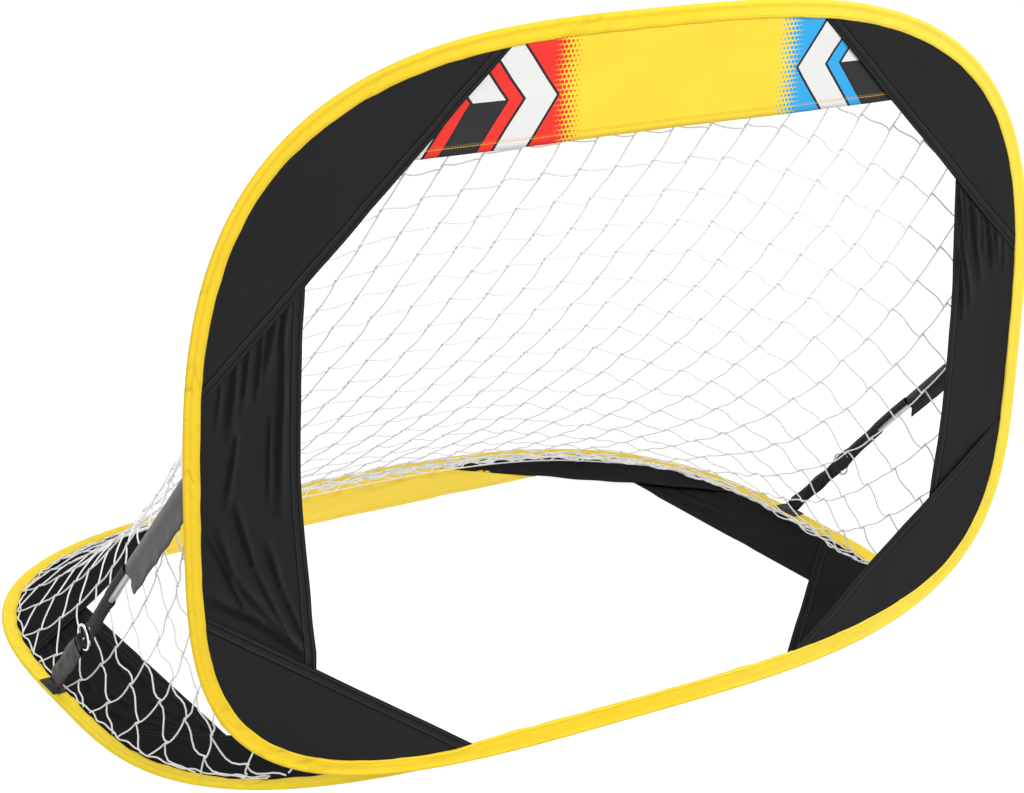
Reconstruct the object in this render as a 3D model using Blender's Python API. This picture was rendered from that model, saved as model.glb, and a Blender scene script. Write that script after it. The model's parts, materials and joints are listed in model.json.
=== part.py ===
"""Folding soccer goal: two sprung hoops in yellow sleeves, one standing as the mouth and one lying
on the ground, hinged along their shared bottom edge, with black corner panels, a hung net and two
side stays. Metres, +Z up, +X to the right along the bottom edge, +Y from the mouth to the rear.
The origin is on the ground, in the middle of the footprint."""
import math

import bmesh
import bpy
import numpy as np
from mathutils import Matrix, Vector

# Clearance that touching pieces keep
GAP = 0.0003

# Hoops
HOOP_WIDTH = 1.200
HOOP_HEIGHT = 0.880
HOOP_WAIST = 0.375          # height of the widest line above the bottom run
TOP_ROUNDNESS = 3.1         # superellipse exponent above the waist
BOTTOM_ROUNDNESS = 3.5      # and below it
HOOP_POINTS = 56
WIRE_DIAMETER = 0.005
FERRULE_BORE = 0.004
FERRULE_LENGTH = 0.036
WIRE_END_DIAMETER = 0.003   # the wire's ends are turned down so that the ferrule lies flush
FERRULE_OFF_CENTRE = 0.190  # along the run, from its middle to the joint in the wire
WIRE_END_GAP = 0.001

# Sleeves and panels
SLEEVE_WALL = 0.0009
SLEEVE_WIDTH = 0.027
PANEL_THICKNESS = 0.0008
PANEL_TUCK = 0.013          # how far a panel reaches into the sleeve
STRIP_WIDTH = 0.1435        # side strip, from the hoop's outer edge
BANNER_DEPTH = 0.140        # banner, from the hoop's top edge
TOP_CORNER_RUN = 0.265      # where the top chord crosses the banner's lower edge, from the side
TOP_CORNER_DROP = 0.252     # where it crosses the strip's inner edge, from the top
BOTTOM_CORNER_RUN = 0.356   # where the bottom chord meets the sleeve, from the side
BOTTOM_CORNER_RISE = 0.196  # where it crosses the strip's inner edge, from the bottom

# Net
NET_BAR = 0.096             # knot to knot
NET_STRAND = 0.0030
NET_THICKNESS = 0.0020
NET_STAND_OFF = 0.0007      # from the sleeves' upper faces
NET_SHORT_BAR = 0.35        # a last bar shorter than this share of the others is left out
NET_LOW_END = 0.070         # height at which the net's bottom corners start
# Each column of the net is a curve whose control point lies back from the mouth and up from the
# ground by shares of the column's drop, and is pulled along X
NET_SAG_BACK = 0.315        # at the middle and left columns
NET_SAG_BACK_LOSS = 0.150   # how much less that share is at the right side
NET_SAG_UP = 0.265
NET_SAG_UP_LOSS = 0.100
NET_PULL_MIDDLE = -0.173
NET_PULL_LEFT = 0.115
NET_PULL_RIGHT = -0.210
NET_PULL_TURN = 2.7         # how late the pull turns from its middle to its side value
NET_PULL_DROP = 0.300       # a column with less drop is pulled less

# Seam tape that joins the two bottom runs
TAPE_HALF_LENGTH = 0.180
TAPE_THICKNESS = 0.0008
TAPE_REACH = 0.012
TAPE_LEAN = 0.0021          # from the standing sleeve's rear face to the tape's upper edge

# Side stays
STAY_HEIGHT = 0.420         # of the upper end above the hinge line
STAY_INSET = 0.014          # from the hoop's outer edge
TAB_WIDTH = 0.018
TAB_LENGTH = 0.046
TAB_THICKNESS = 0.0010
ROD_DIAMETER = 0.009
ROD_START = 0.012
ROD_END = 0.405
POCKET_WALL = 0.0009
POCKET_WIDTH = 0.030
POCKET_LENGTH = 0.235
POCKET_POINT = 0.008
STRAP_WIDTH = 0.018
STRAP_THICKNESS = 0.0014
END_POCKET_START = 0.325
TONGUE_WIDTH = 0.018
TONGUE_THICKNESS = 0.0020
TONGUE_LENGTH = 0.027
RING_DIAMETER = 0.034
RING_WIRE = 0.0035
RING_CLEARANCE = 0.0008
WEBBING = 0.0010            # one layer; the lower strap is doubled
FOOT_TRIM = 0.005           # cut off the strap's rear lower corner, which swings down
LOOP_NECK = 0.012           # from the ring's wire to where the strap's two layers meet
LOWER_SLEEVE_WIDTH = 0.026
LOWER_SLEEVE_WALL = 0.0008
LOWER_SLEEVE_START = 0.022
LOWER_SLEEVE_CLEAR = 0.010  # from its upper end to where the strap's loop opens

# Sizes that follow
OCTAGON = math.cos(math.pi / 8)
WIRE_R = WIRE_DIAMETER / 2
SLEEVE_R_IN = WIRE_R + GAP
SLEEVE_R = SLEEVE_R_IN + SLEEVE_WALL
SLIT_HALF = PANEL_THICKNESS / 2 + GAP
BAND_HALF = SLIT_HALF + SLEEVE_WALL
FOLD_OFFSET = 2 * SLEEVE_R + GAP
RUN_HALF = HOOP_WIDTH / 2 - SLEEVE_R
RUN_HEIGHT = HOOP_HEIGHT - 2 * SLEEVE_R
WAIST = HOOP_WAIST - SLEEVE_R
WIRE_Z = SLEEVE_R * OCTAGON
HINGE_Y = (FOLD_OFFSET - RUN_HEIGHT) / 2
HINGE = Vector((0, HINGE_Y, WIRE_Z))

YELLOW = ("yellow_fabric", (0.930, 0.620, 0.020), 0.75, 0.0)
BLACK = ("black_fabric", (0.022, 0.022, 0.024), 0.70, 0.0)
WHITE = ("net_cord", (0.850, 0.850, 0.840), 0.80, 0.0)
STEEL = ("spring_steel", (0.450, 0.450, 0.460), 0.35, 1.0)
ROD_GREY = ("stay_rod", (0.700, 0.700, 0.690), 0.40, 0.0)
CHROME = ("ring_steel", (0.750, 0.750, 0.760), 0.15, 1.0)


def material(kind):
    name, colour, roughness, metallic = kind
    made = bpy.data.materials.get(name)
    if made is None:
        made = bpy.data.materials.new(name)
        made.use_nodes = True
        shader = made.node_tree.nodes["Principled BSDF"]
        shader.inputs["Base Color"].default_value = (*colour, 1.0)
        shader.inputs["Roughness"].default_value = roughness
        shader.inputs["Metallic"].default_value = metallic
        made.diffuse_color = (*colour, 1.0)
    return made


def add_object(name, mesh_data, kind, smooth=True):
    """Turn a bmesh into a named object with outward faces and its material."""
    bmesh.ops.recalc_face_normals(mesh_data, faces=mesh_data.faces)
    mesh = bpy.data.meshes.new(name)
    mesh_data.to_mesh(mesh)
    mesh_data.free()
    mesh.materials.append(material(kind))
    if smooth:
        mesh.shade_smooth()
        mesh.set_sharp_from_angle(angle=math.radians(40))
    made = bpy.data.objects.new(name, mesh)
    bpy.context.scene.collection.objects.link(made)
    return made


def sweep(rings, closed):
    """Join rings of points into one skin; an open sweep gets a cap at each end."""
    body = bmesh.new()
    loops = [[body.verts.new(point) for point in ring] for ring in rings]
    count = len(loops[0])
    spans = len(loops) if closed else len(loops) - 1
    for k in range(spans):
        here = loops[k]
        there = loops[(k + 1) % len(loops)]
        for i in range(count):
            j = (i + 1) % count
            body.faces.new((here[i], here[j], there[j], there[i]))
    if not closed:
        body.faces.new(loops[0])
        body.faces.new(loops[-1])
    return body


def prism(outline, place, half_thickness):
    """A flat sheet: an outline of (u, v) points with a face on each side of its plane."""
    rings = [[place(u, v, q) for u, v in outline] for q in (-half_thickness, half_thickness)]
    return sweep(rings, closed=False)


def circle(radius, sides=8):
    step = 2 * math.pi / sides
    return [(radius * math.cos(step * (k + 0.5)), radius * math.sin(step * (k + 0.5)))
            for k in range(sides)]


def hairpin(bore, wall, tail, slit_half, stretch=0.0, neck=None):
    """A cloth folded round a bore and sewn to itself: (along, across) points of its section.
    The fold is at negative along, its two legs close at the neck and run to the tail. The bore
    may be stretched into an oval."""
    angles = [math.radians(a) for a in (112.5, 67.5, 22.5, -22.5, -67.5, -112.5)]
    outer = [(-(bore + stretch + wall) * math.cos(a), (bore + wall) * math.sin(a)) for a in angles]
    inner = [(-(bore + stretch) * math.cos(a), bore * math.sin(a)) for a in reversed(angles)]
    leg = slit_half + wall
    along = [tail] if neck is None else [tail, neck]
    return ([(p, leg) for p in along] + outer + [(p, -leg) for p in reversed(along)]
            + [(p, -slit_half) for p in along] + inner + [(p, slit_half) for p in reversed(along)])


def hoop_curve():
    """Dense points of the wire's centreline, clockwise from the middle of the top run."""
    turn = np.linspace(math.pi / 2, math.pi / 2 - 2 * math.pi, 4001)
    c, s = np.cos(turn), np.sin(turn)
    power = 2 / np.where(s >= 0, TOP_ROUNDNESS, BOTTOM_ROUNDNESS)
    rise = np.where(s >= 0, RUN_HEIGHT - WAIST, WAIST)
    u = RUN_HALF * np.sign(c) * np.abs(c) ** power
    v = WAIST + rise * np.sign(s) * np.abs(s) ** power
    steps = np.hypot(np.diff(u), np.diff(v))
    return u, v, np.concatenate(([0.0], np.cumsum(steps)))


CURVE_U, CURVE_V, CURVE_LENGTH = hoop_curve()
HOOP_LENGTH = CURVE_LENGTH[-1]


def hoop_at(distance, inset=0.0):
    """The point (u, v) at a distance along the wire, moved inwards, and the inward direction."""
    reach = 0.002
    samples = np.array([distance - reach, distance, distance + reach]) % HOOP_LENGTH
    u = np.interp(samples, CURVE_LENGTH, CURVE_U)
    v = np.interp(samples, CURVE_LENGTH, CURVE_V)
    tangent = np.array([u[2] - u[0], v[2] - v[0]])
    tangent = tangent / np.hypot(*tangent)
    inward = np.array([tangent[1], -tangent[0]])
    return u[1] + inset * inward[0], v[1] + inset * inward[1], inward


STATION_STEP = HOOP_LENGTH / HOOP_POINTS
STATIONS = [hoop_at(FERRULE_OFF_CENTRE + (k + 0.5) * STATION_STEP) for k in range(HOOP_POINTS)]


def front_place(u, v, q):
    """Hoop coordinates to the standing hoop; q is towards the rear."""
    return Vector((u, HINGE_Y - FOLD_OFFSET + q, WIRE_Z + v))


def base_place(u, v, q):
    """Hoop coordinates to the lying hoop; q is up."""
    return Vector((u, HINGE_Y + v, WIRE_Z + q))


def build_sleeve(name, place):
    section = hairpin(SLEEVE_R_IN, SLEEVE_WALL, SLEEVE_WIDTH - SLEEVE_R, SLIT_HALF)
    rings = []
    for u, v, inward in STATIONS:
        rings.append([place(u + p * inward[0], v + p * inward[1], q) for p, q in section])
    add_object(name, sweep(rings, closed=True), YELLOW)


def wire_joint():
    """The straight stretch that holds the wire's two ends: its middle, direction and inward side."""
    before = np.array(STATIONS[-1][:2])
    after = np.array(STATIONS[0][:2])
    along = (after - before) / np.hypot(*(after - before))
    inward = np.array([along[1], -along[0]])
    return (before + after) / 2, along, inward


def build_wire(name, place):
    middle, along, inward = wire_joint()
    shoulder = FERRULE_LENGTH / 2 + GAP
    ends = ((WIRE_END_GAP / 2, WIRE_END_DIAMETER / 2), (shoulder, WIRE_END_DIAMETER / 2), (shoulder, WIRE_R))
    first = [(*(middle + reach * along), inward, radius) for reach, radius in ends]
    last = [(*(middle - reach * along), inward, radius) for reach, radius in reversed(ends)]
    rings = []
    for u, v, inward, radius in first + [(*station, WIRE_R) for station in STATIONS] + last:
        section = circle(radius, 6)
        rings.append([place(u + p * inward[0], v + p * inward[1], q) for p, q in section])
    add_object(name, sweep(rings, closed=False), STEEL)


def build_ferrule(name, place):
    """A crimped tube over the two ends of the wire."""
    middle, along, inward = wire_joint()
    section = circle(WIRE_R) + circle(FERRULE_BORE / 2)
    rings = []
    for end in (-1, 1):
        u, v = middle + end * FERRULE_LENGTH / 2 * along
        rings.append([place(u + p * inward[0], v + p * inward[1], q) for p, q in section])
    body = bmesh.new()
    near, far = [[body.verts.new(point) for point in ring] for ring in rings]
    for i in range(8):
        j = (i + 1) % 8
        body.faces.new((near[i], near[j], far[j], far[i]))
        body.faces.new((near[8 + i], near[8 + j], far[8 + j], far[8 + i]))
        body.faces.new((near[i], near[j], near[8 + j], near[8 + i]))
        body.faces.new((far[i], far[j], far[8 + j], far[8 + i]))
    add_object(name, body, STEEL)


def clip(outline, point, keep):
    """The part of a convex outline on the side of a line that keep points to."""
    kept = []
    for i, here in enumerate(outline):
        there = outline[(i + 1) % len(outline)]
        a = (here[0] - point[0]) * keep[0] + (here[1] - point[1]) * keep[1]
        b = (there[0] - point[0]) * keep[0] + (there[1] - point[1]) * keep[1]
        if a >= 0:
            kept.append(here)
        if a * b < 0:
            share = a / (a - b)
            kept.append((here[0] + share * (there[0] - here[0]), here[1] + share * (there[1] - here[1])))
    return kept


def chord(first, second, away_from):
    """A cut through two points: a point on it and its normal, which points away from a centre."""
    normal = (second[1] - first[1], first[0] - second[0])
    length = math.hypot(*normal)
    normal = (normal[0] / length, normal[1] / length)
    side = (first[0] - away_from[0]) * normal[0] + (first[1] - away_from[1]) * normal[1]
    if side < 0:
        normal = (-normal[0], -normal[1])
    return first, normal


def split(outline, cut):
    """Cut an outline in two along a chord, leaving the clearance between the halves."""
    (u, v), (nu, nv) = cut
    half = GAP / 2
    outside = clip(outline, (u + half * nu, v + half * nv), (nu, nv))
    inside = clip(outline, (u - half * nu, v - half * nv), (-nu, -nv))
    return outside, inside


STRIP_U = HOOP_WIDTH / 2 - STRIP_WIDTH
BANNER_V = HOOP_HEIGHT - BANNER_DEPTH - SLEEVE_R
CENTRE = (0.0, RUN_HEIGHT / 2)


def panel_outlines():
    """The seven panels of one hoop, cut from its outline by the chords of its corners."""
    tuck = PANEL_TUCK - SLEEVE_R
    whole = [(u + tuck * inward[0], v + tuck * inward[1]) for u, v, inward in STATIONS]
    top_v = HOOP_HEIGHT - TOP_CORNER_DROP - SLEEVE_R
    top_u = HOOP_WIDTH / 2 - TOP_CORNER_RUN
    low_v = BOTTOM_CORNER_RISE - SLEEVE_R
    low_u = HOOP_WIDTH / 2 - BOTTOM_CORNER_RUN
    panels = {}
    rest = whole
    for side, sign in (("left", -1), ("right", 1)):
        top_cut = chord((sign * STRIP_U, top_v), (sign * top_u, BANNER_V), CENTRE)
        low_cut = chord((sign * STRIP_U, low_v), (sign * low_u, SLEEVE_WIDTH - SLEEVE_R), CENTRE)
        panels[side + "_top_corner"], rest = split(rest, top_cut)
        panels[side + "_bottom_corner"], rest = split(rest, low_cut)
    for side, sign in (("left", -1), ("right", 1)):
        panels[side + "_side_strip"] = clip(rest, (sign * STRIP_U, 0), (sign, 0))
    panels["banner"] = clip(rest, (0, BANNER_V), (0, 1))
    return panels


def build_panels(prefix, place):
    for panel, outline in panel_outlines().items():
        kind = YELLOW if panel == "banner" else BLACK
        add_object(prefix + "_" + panel, prism(outline, place, PANEL_THICKNESS / 2), kind, smooth=False)


NET_LIFT = BAND_HALF + NET_STAND_OFF + NET_THICKNESS / 2
NET_INSET = SLEEVE_WIDTH - SLEEVE_R - NET_STRAND


def net_ends():
    """Distances along the hoop, from the top middle, at which the net starts and stops."""
    low = NET_LOW_END - SLEEVE_R
    side = CURVE_LENGTH < HOOP_LENGTH / 2
    reach = np.interp(-low, -CURVE_V[side], CURVE_LENGTH[side])
    return -reach, reach


def net_column(distance):
    """One line of the net from the lying hoop up to the standing one, and its length."""
    u, v, _ = hoop_at(distance, NET_INSET)
    low = base_place(u, v, NET_LIFT)
    high = front_place(u, v, NET_LIFT)
    drop = high.z - low.z
    side = 2 * u / HOOP_WIDTH
    loss = max(0.0, side) ** 2
    back = NET_SAG_BACK - NET_SAG_BACK_LOSS * loss
    up = NET_SAG_UP - NET_SAG_UP_LOSS * loss
    side_pull = NET_PULL_RIGHT if side > 0 else NET_PULL_LEFT
    pull = NET_PULL_MIDDLE + (side_pull - NET_PULL_MIDDLE) * abs(side) ** NET_PULL_TURN
    pull = pull * min(1.0, drop / NET_PULL_DROP)
    knee = Vector((u + pull, high.y + back * drop, low.z + up * drop))
    t = np.linspace(0, 1, 60)[:, None]
    ends = [np.array(point)[None, :] for point in (low, knee, high)]
    line = (1 - t) ** 2 * ends[0] + 2 * t * (1 - t) * ends[1] + t ** 2 * ends[2]
    steps = np.linalg.norm(np.diff(line, axis=0), axis=1)
    return line, np.concatenate(([0.0], np.cumsum(steps)))


def build_net():
    """A diamond net as one pierced sheet. Its knots lie on columns, half a diamond apart."""
    start, stop = net_ends()
    columns = 2 * round((stop - start) / (NET_BAR * math.sqrt(2)))
    pitch = NET_BAR / math.sqrt(2)
    lines = [net_column(start + (stop - start) * i / columns) for i in range(columns + 1)]
    body = bmesh.new()
    knots = {}
    borders = set()

    def knot(i, j):
        line, length = lines[i]
        reach = min(max(j * pitch, 0.0), length[-1])
        if length[-1] - reach < NET_SHORT_BAR * pitch:
            reach = length[-1]
        key = (i, round(reach, 5))
        if key not in knots:
            place = [np.interp(reach, length, line[:, axis]) for axis in range(3)]
            knots[key] = body.verts.new(place)
            if reach in (0.0, length[-1]):
                borders.add(knots[key])
        return knots[key]

    rows = int(max(length[-1] for _, length in lines) / pitch) + 2
    for i in range(columns + 1):
        for j in range(-1, rows):
            if (i + j) % 2 or knot(i, j - 1) is knot(i, j + 1):
                continue
            around = [(i - 1, j), (i, j - 1), (i + 1, j), (i, j + 1)]
            corners = []
            for a, b in around:
                if 0 <= a <= columns:
                    corner = knot(a, b)
                    if corner not in corners:
                        corners.append(corner)
            inner = [corner for corner in corners if corner not in borders]
            if len(corners) >= 3 and inner and body.faces.get(corners) is None:
                body.faces.new(corners)
    for vert in [v for v in body.verts if not v.link_faces]:
        body.verts.remove(vert)
    bmesh.ops.recalc_face_normals(body, faces=body.faces)
    wide = [f for f in body.faces if 2 * f.calc_area() / f.calc_perimeter() > 1.5 * NET_STRAND]
    bmesh.ops.inset_individual(body, faces=wide, thickness=NET_STRAND / 2, use_even_offset=True)
    bmesh.ops.delete(body, geom=wide, context="FACES_ONLY")
    sheet = add_object("net", body, WHITE, smooth=False)
    solid = sheet.modifiers.new("thickness", "SOLIDIFY")
    solid.thickness = NET_THICKNESS
    solid.offset = 0


def build_tape():
    """The strip of cloth, sewn into the corner between the two bottom runs, that joins them."""
    bottom = HOOP_LENGTH / 2
    rest_on = SLEEVE_R + GAP
    rings = []
    for k in range(9):
        distance = bottom + TAPE_HALF_LENGTH * (k / 4 - 1)
        u, v, _ = hoop_at(distance)
        v = v + SLEEVE_R
        outer = rest_on + TAPE_THICKNESS
        lean = BAND_HALF + TAPE_LEAN
        rings.append([
            front_place(u, v + TAPE_REACH, lean + TAPE_THICKNESS),
            front_place(u, v + TAPE_REACH, lean),
            front_place(u, v, rest_on),
            base_place(u, v, rest_on),
            base_place(u, v + TAPE_REACH, rest_on),
            base_place(u, v + TAPE_REACH, outer),
            base_place(u, v + TAPE_THICKNESS, outer),
            front_place(u, v + TAPE_THICKNESS, rest_on + TAPE_THICKNESS),
        ])
    add_object("bottom_seam_tape", sweep(rings, closed=False), YELLOW, smooth=False)


# Stays: s runs down the stay from its upper pivot, w across it to the upper rear, n outwards
SLOPE = math.sqrt(0.5)
TAB_TOP = SLEEVE_R * OCTAGON + GAP + TAB_THICKNESS
ROD_R = ROD_DIAMETER / 2
POCKET_R_IN = ROD_R + GAP
POCKET_R = POCKET_R_IN + POCKET_WALL
UPPER_LIFT = TAB_TOP + GAP + POCKET_R
STRAP_HALF = WEBBING + GAP / 2
LOWER_LIFT = TAB_TOP + GAP + 1.5 * STRAP_HALF
RING_OFFSET = RING_WIRE / 2 + RING_CLEARANCE + TONGUE_THICKNESS / 2
UPPER_Y = HINGE_Y - FOLD_OFFSET + UPPER_LIFT
UPPER_Z = WIRE_Z + STAY_HEIGHT
LOWER_Z = WIRE_Z + LOWER_LIFT
LOWER_Y = UPPER_Y + UPPER_Z - LOWER_Z
STAY_LENGTH = (UPPER_Z - LOWER_Z) / SLOPE
RING_AT = ROD_END + TONGUE_LENGTH
RING_R = (RING_DIAMETER - RING_WIRE) / 2


def stay_frame(sign):
    """The stay's upper pivot and its directions down, across and outwards."""
    pivot = Vector((sign * (HOOP_WIDTH / 2 - STAY_INSET), UPPER_Y, UPPER_Z))
    return pivot, Vector((0, SLOPE, -SLOPE)), Vector((0, SLOPE, SLOPE)), Vector((sign, 0, 0))


def stay_hub(sign):
    """The lower strap's pivot, over the lying hoop's sleeve."""
    return Vector((sign * (HOOP_WIDTH / 2 - STAY_INSET + RING_OFFSET), LOWER_Y, LOWER_Z))


def build_stay(side, sign):
    pivot, down, across, out = stay_frame(sign)
    hub = stay_hub(sign)

    def upper(s, w, n):
        return pivot + s * down + w * across + n * out

    def lower(s, w, n):
        return hub - s * down + w * across + n * out

    # Tabs, sewn flat on the two sleeves
    half = TAB_WIDTH / 2
    low = TAB_TOP - TAB_THICKNESS
    drop = POCKET_WIDTH * SLOPE / 2
    front_tab = [(pivot.x + a * half, STAY_HEIGHT - drop + b * TAB_LENGTH / 2)
                 for a, b in ((-1, -1), (1, -1), (1, 1), (-1, 1))]
    base_tab = [(hub.x + a * half, LOWER_Y - HINGE_Y + b * TAB_LENGTH / 2)
                for a, b in ((-1, -1), (1, -1), (1, 1), (-1, 1))]
    for name, outline, place in (("front_tab", front_tab, front_place), ("base_tab", base_tab, base_place)):
        rings = [[place(u, v, q) for u, v in outline] for q in (low, TAB_TOP)]
        add_object(side + "_stay_" + name, sweep(rings, closed=False), BLACK, smooth=False)

    # Pocket: cloth folded round the rod and sewn into a fin on its lower side
    fin = POCKET_WIDTH - POCKET_R
    section = [(-p, n) for p, n in hairpin(POCKET_R_IN, POCKET_WALL, fin, GAP / 2)]
    cut = (UPPER_LIFT - TAB_TOP - GAP) / SLOPE
    top = [upper(max(0.0, -w - cut), w, n) for w, n in section]
    end = [upper(POCKET_LENGTH + POCKET_POINT * (w < -POCKET_R), w, n) for w, n in section]
    add_object(side + "_stay_pocket", sweep([top, end], closed=False), BLACK)

    rod = [[upper(s, w, n) for w, n in circle(ROD_R)] for s in (ROD_START, ROD_END)]
    add_object(side + "_stay_rod", sweep(rod, closed=False), ROD_GREY)

    # Strap along the rod's upper side
    near = POCKET_R_IN
    far = near + STRAP_THICKNESS
    edge = STRAP_WIDTH / 2
    flat = ((near, -edge), (near, edge), (far, edge), (far, -edge))
    ends = (POCKET_LENGTH + GAP, END_POCKET_START - GAP)
    strap = [[upper(s, w, n) for w, n in flat] for s in ends]
    add_object(side + "_stay_strap", sweep(strap, closed=False), BLACK, smooth=False)

    # End pocket: a cup over the rod's lower end that flattens into a tongue beside the ring
    wide = TONGUE_WIDTH / 2
    thick = TONGUE_THICKNESS / 2
    tongue = [(math.copysign(wide if abs(w) > abs(n) else 0.4 * wide, w), math.copysign(thick, n))
              for w, n in circle(1.0)]
    cup_end = ROD_END + GAP
    shape = [
        (cup_end, circle(POCKET_R_IN)),
        (END_POCKET_START, circle(POCKET_R_IN)),
        (END_POCKET_START, circle(POCKET_R)),
        (ROD_END, circle(POCKET_R)),
        (ROD_END + 0.4 * TONGUE_LENGTH, tongue),
        (RING_AT + TONGUE_THICKNESS, tongue),
    ]
    rings = [[upper(s, w, n) for w, n in points] for s, points in shape]
    add_object(side + "_stay_end_pocket", sweep(rings, closed=False), BLACK)

    # Ring, in the loop of the lower strap
    ring_s = STAY_LENGTH - RING_AT
    rings = []
    for k in range(20):
        turn = 2 * math.pi * k / 20
        rings.append([lower(ring_s + (RING_R + p) * math.cos(turn), (RING_R + p) * math.sin(turn), n)
                      for p, n in circle(RING_WIRE / 2, 6)])
    add_object(side + "_stay_ring", sweep(rings, closed=True), CHROME)

    # Lower strap: doubled webbing looped round the ring's lower side
    half = STRAP_WIDTH / 2
    bow = RING_R - math.sqrt(RING_R ** 2 - half ** 2)
    bore = (RING_WIRE / 2 + 2 * GAP) / OCTAGON
    loop_s = ring_s - RING_R + bow / 2
    foot = TAB_TOP + GAP - LOWER_LIFT
    section = hairpin(bore, WEBBING, 1.0, GAP / 2, stretch=bow / 2 + 2 * GAP, neck=LOOP_NECK)
    rings = []
    for w in (-half, half):
        tail = foot / SLOPE - w + (FOOT_TRIM if w > 0 else 0)
        rings.append([lower(tail if p == 1.0 else loop_s - p, w, n) for p, n in section])
    add_object(side + "_stay_lower_strap", sweep(rings, closed=False), BLACK)

    # Sleeve of cloth round the lower strap
    sleeve_end = loop_s - LOOP_NECK - LOWER_SLEEVE_CLEAR
    rings = []
    for s, grow in ((1, 0), (0, 0), (0, 1), (1, 1)):
        w = half + 2 * GAP if grow == 0 else LOWER_SLEEVE_WIDTH / 2
        n = STRAP_HALF + GAP + grow * LOWER_SLEEVE_WALL
        at = sleeve_end if s else LOWER_SLEEVE_START
        rings.append([lower(at, a * w, b * n) for a, b in ((-1, -1), (1, -1), (1, 1), (-1, 1))])
    add_object(side + "_stay_lower_sleeve", sweep(rings, closed=True), BLACK, smooth=False)


def hang(name, place, members):
    """Hang moving pieces on an empty that sits on their joint's axis."""
    axis = bpy.data.objects.new(name, None)
    axis.location = place
    bpy.context.scene.collection.objects.link(axis)
    for member in members:
        piece = bpy.data.objects[member]
        piece.parent = axis
        piece.matrix_parent_inverse = Matrix.Translation(place).inverted()


def main():
    for old in list(bpy.data.objects):
        bpy.data.objects.remove(old, do_unlink=True)
    for prefix, place in (("front", front_place), ("base", base_place)):
        build_wire(prefix + "_hoop_wire", place)
        build_ferrule(prefix + "_hoop_ferrule", place)
        build_sleeve(prefix + "_hoop_sleeve", place)
        build_panels(prefix, place)
    build_net()
    build_tape()
    for side, sign in (("left", -1), ("right", 1)):
        build_stay(side, sign)
    standing = [piece.name for piece in bpy.data.objects if piece.name.startswith("front_")]
    hang("front_fold", HINGE, standing + ["left_stay_front_tab", "right_stay_front_tab"])
    for side, sign in (("left", -1), ("right", 1)):
        stay = side + "_stay_"
        upper = [stay + piece for piece in ("pocket", "rod", "strap", "end_pocket")]
        lower = [stay + piece for piece in ("ring", "lower_strap", "lower_sleeve")]
        hang(side + "_upper_stay_swing", stay_frame(sign)[0], upper)
        hang(side + "_lower_strap_swing", stay_hub(sign), lower)


main()
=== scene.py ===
"""Looks of the folding soccer goal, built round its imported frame: sewn sleeves and panels, the
printed banner, the knotted net and the side stays, in a white studio."""
import json
import math

import bmesh
import bpy
import numpy as np
from mathutils import Matrix, Vector, noise


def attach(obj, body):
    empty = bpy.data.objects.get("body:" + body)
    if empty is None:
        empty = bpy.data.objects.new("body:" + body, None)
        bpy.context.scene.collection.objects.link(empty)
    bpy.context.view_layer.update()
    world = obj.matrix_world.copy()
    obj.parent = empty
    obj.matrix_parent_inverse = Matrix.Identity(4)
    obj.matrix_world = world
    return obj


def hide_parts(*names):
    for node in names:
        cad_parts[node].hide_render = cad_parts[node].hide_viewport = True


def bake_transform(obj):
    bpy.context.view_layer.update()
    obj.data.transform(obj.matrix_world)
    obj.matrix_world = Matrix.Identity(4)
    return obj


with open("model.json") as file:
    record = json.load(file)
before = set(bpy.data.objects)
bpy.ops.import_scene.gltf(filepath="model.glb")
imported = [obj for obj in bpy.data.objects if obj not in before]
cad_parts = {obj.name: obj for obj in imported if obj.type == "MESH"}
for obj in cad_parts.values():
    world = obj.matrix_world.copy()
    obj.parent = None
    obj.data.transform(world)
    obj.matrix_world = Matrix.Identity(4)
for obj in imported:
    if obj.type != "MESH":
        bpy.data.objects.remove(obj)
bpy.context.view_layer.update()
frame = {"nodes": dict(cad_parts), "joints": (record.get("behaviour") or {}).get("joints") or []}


# Hoop wires: each hoop is one length of spring steel wire, bent to a rounded outline that is
# widest below its middle. Its two ends are turned down and held in a ferrule. Wire and ferrule
# lie inside the sleeve, so they keep the part's own solids and only get their steel here.
GOAL_WIDTH = 1.200
GOAL_HEIGHT = 0.880
WIRE_ROUND = 0.0037             # radius over the cloth that wraps the wire
HOOP_HALF = GOAL_WIDTH / 2 - WIRE_ROUND
HOOP_HEIGHT = GOAL_HEIGHT - 2 * WIRE_ROUND
HOOP_WAIST = 0.375 - WIRE_ROUND     # the widest place, over the bottom run
WIRE_GREY = (0.45, 0.45, 0.46)
TOP_ROUNDNESS = 3.1
BOTTOM_ROUNDNESS = 3.5
HOOP_GAP = 0.0003               # between the two sleeves
BASE_Z = 0.003418               # the lying wire's height over the ground
HINGE_Y = frame["joints"][0]["pos_m"][1]
FRONT_Y = HINGE_Y - 2 * WIRE_ROUND - HOOP_GAP
angle = np.linspace(math.pi / 2, -1.5 * math.pi, 6001)
power = 2 / np.where(np.sin(angle) >= 0, TOP_ROUNDNESS, BOTTOM_ROUNDNESS)
rise = np.where(np.sin(angle) >= 0, HOOP_HEIGHT - HOOP_WAIST, HOOP_WAIST)
line_u = HOOP_HALF * np.sign(np.cos(angle)) * np.abs(np.cos(angle)) ** power
line_v = HOOP_WAIST + rise * np.sign(np.sin(angle)) * np.abs(np.sin(angle)) ** power
line_s = np.concatenate(([0.0], np.cumsum(np.hypot(np.diff(line_u), np.diff(line_v)))))
HOOP_LENGTH = line_s[-1]        # from the middle of the top run clockwise round to it again


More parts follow.
